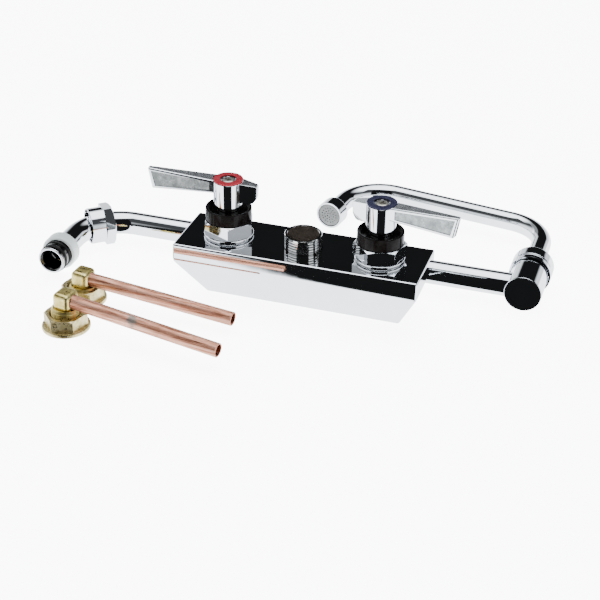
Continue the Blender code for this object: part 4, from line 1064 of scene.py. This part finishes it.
def make_world():
    """The studio that the metal reflects, told by direction in degrees.

    `height` is 0 level and 90 straight up; `turn` is 0 to the front, 90 to the right and 180 behind.
    A bright table lies below, with a dark gap towards the front, and a light hangs overhead. Low
    lights stand at both sides and behind, and a faint one high at the back's left corner.
    """
    world = bpy.data.worlds.new("studio")
    bpy.context.scene.world = world
    world.use_nodes = True
    tree = world.node_tree
    tree.nodes.clear()

    def add(kind, **values):
        node = tree.nodes.new(kind)
        for key, value in values.items():
            setattr(node, key, value)
        return node

    def maths(operation, *values):
        node = add("ShaderNodeMath", operation=operation)
        for socket, value in zip(node.inputs, values):
            if isinstance(value, (int, float)):
                socket.default_value = value
            else:
                tree.links.new(value, socket)
        return node.outputs[0]

    def times(one, *others):
        for other in others:
            one = maths("MULTIPLY", one, other)
        return one

    def plus(one, *others):
        for other in others:
            one = maths("ADD", one, other)
        return one

    def ramp(source, start, end, low=0.0, high=1.0):
        """Goes softly from `low` at `start` to `high` at `end`."""
        node = add("ShaderNodeMapRange", interpolation_type="SMOOTHSTEP")
        for key, value in (("From Min", start), ("From Max", end), ("To Min", low), ("To Max", high)):
            node.inputs[key].default_value = value
        tree.links.new(source, node.inputs["Value"])
        return node.outputs["Result"]

    def window(source, opens, closes):
        """1 between two soft edges, and 0 outside them."""
        return times(ramp(source, *opens), ramp(source, closes[1], closes[0]))

    split = add("ShaderNodeSeparateXYZ")
    tree.links.new(add("ShaderNodeTexCoord").outputs["Generated"], split.inputs[0])
    x, y, z = split.outputs
    degrees = 180 / math.pi
    height = times(maths("ARCSINE", z), degrees)
    turn = times(maths("ARCTAN2", x, times(y, -1.0)), degrees)
    aside = maths("ABSOLUTE", turn)

    gap = times(window(turn, (-21.0, -17.0), (42.0, 48.0)), ramp(height, -82.0, -78.0))
    table = times(ramp(height, 1.0, -1.0), maths("SUBTRACT", 1.0, gap))
    ahead = ramp(aside, 95.0, 85.0)
    overhead = plus(times(ahead, ramp(height, 60.0, 68.0)),
                    times(maths("SUBTRACT", 1.0, ahead), ramp(height, 41.0, 62.0)))
    left = window(turn, (-132.0, -128.0), (-26.0, -22.0))
    right = window(turn, (50.0, 54.0), (118.0, 122.0))
    sides = times(plus(left, right), window(height, (2.0, 4.0), (58.0, 61.0)),
                  ramp(height, 36.0, 12.0, 0.03, 1.0))
    behind = times(ramp(aside, 118.0, 126.0), window(height, (-0.5, 0.5), (11.0, 19.0)))
    corner = times(window(turn, (-152.0, -146.0), (-124.0, -118.0)), ramp(height, 10.0, 20.0))
    total = plus(times(table, TABLE_LIGHT), times(overhead, OVERHEAD_LIGHT), times(sides, SIDE_LIGHT),
                 times(behind, BEHIND_LIGHT), times(corner, CORNER_LIGHT), FAINT_LIGHT)

    output = add("ShaderNodeOutputWorld")
    background = add("ShaderNodeBackground")
    background.inputs["Color"].default_value = (*STUDIO_TINT, 1)
    tree.links.new(total, background.inputs["Strength"])
    tree.links.new(background.outputs[0], output.inputs[0])


def add_area(name, place, aim, size, power):
    """A square light that mirrors don't show."""
    data = bpy.data.lights.new(name, "AREA")
    data.shape = "SQUARE"
    data.size = size
    data.energy = power
    light = bpy.data.objects.new(name, data)
    bpy.context.scene.collection.objects.link(light)
    light.location = place
    light.rotation_euler = (Vector(aim) - Vector(place)).to_track_quat("-Z", "Y").to_euler()
    light.visible_glossy = False


def make_lights():
    add_area("overhead_light", (-0.2, 0.1, 1.6), (0, 0.03, 0), 1.6, 30)
    add_area("front_light", (0.3, -1.3, 1.1), (0, 0.03, 0.02), 1.2, 14)


# The camera looks at the origin, slid aside and up by CAMERA_SIDE; lens and sensor in millimetres
CAMERA_LENS = 86.41
CAMERA_SENSOR = 36.0
CAMERA_TURN = 17.345
CAMERA_HEIGHT = 30.488
CAMERA_ROLL = 0.816
CAMERA_AWAY = 0.948745
CAMERA_SIDE = (-0.001555, 0.003353)
CAMERA_CLIP = (0.01, 20)


def make_camera():
    turn, height, roll = (math.radians(value) for value in (CAMERA_TURN, CAMERA_HEIGHT, CAMERA_ROLL))
    back = Vector((math.sin(turn) * math.cos(height), -math.cos(turn) * math.cos(height), math.sin(height)))
    level = Vector((math.cos(turn), math.sin(turn), 0))
    upright = back.cross(level)
    right = level * math.cos(roll) + upright * math.sin(roll)
    up = upright * math.cos(roll) - level * math.sin(roll)
    data = bpy.data.cameras.new("camera")
    data.lens = CAMERA_LENS
    data.sensor_width = CAMERA_SENSOR
    data.clip_start, data.clip_end = CAMERA_CLIP
    camera = bpy.data.objects.new("camera", data)
    bpy.context.scene.collection.objects.link(camera)
    place = back * CAMERA_AWAY + right * CAMERA_SIDE[0] + up * CAMERA_SIDE[1]
    turned_to = Matrix((right, up, back)).transposed().to_4x4()
    camera.matrix_world = Matrix.Translation(place) @ turned_to
    bpy.context.scene.camera = camera


make_body()
make_nipple()
make_valve("hot", HOT, HOT_ANGLE, HOT_BONNET_SPIN, RED)
make_valve("cold", COLD, COLD_ANGLE, COLD_BONNET_SPIN, BLUE)
make_arm1()
make_tail()
make_tail_nut()
make_joint()
make_stub()
make_arm2()
for supply_side, layout in SUPPLIES.items():
    make_supply(supply_side, *layout)
dress_hidden_nodes()
make_floor()
make_world()
make_lights()
make_camera()
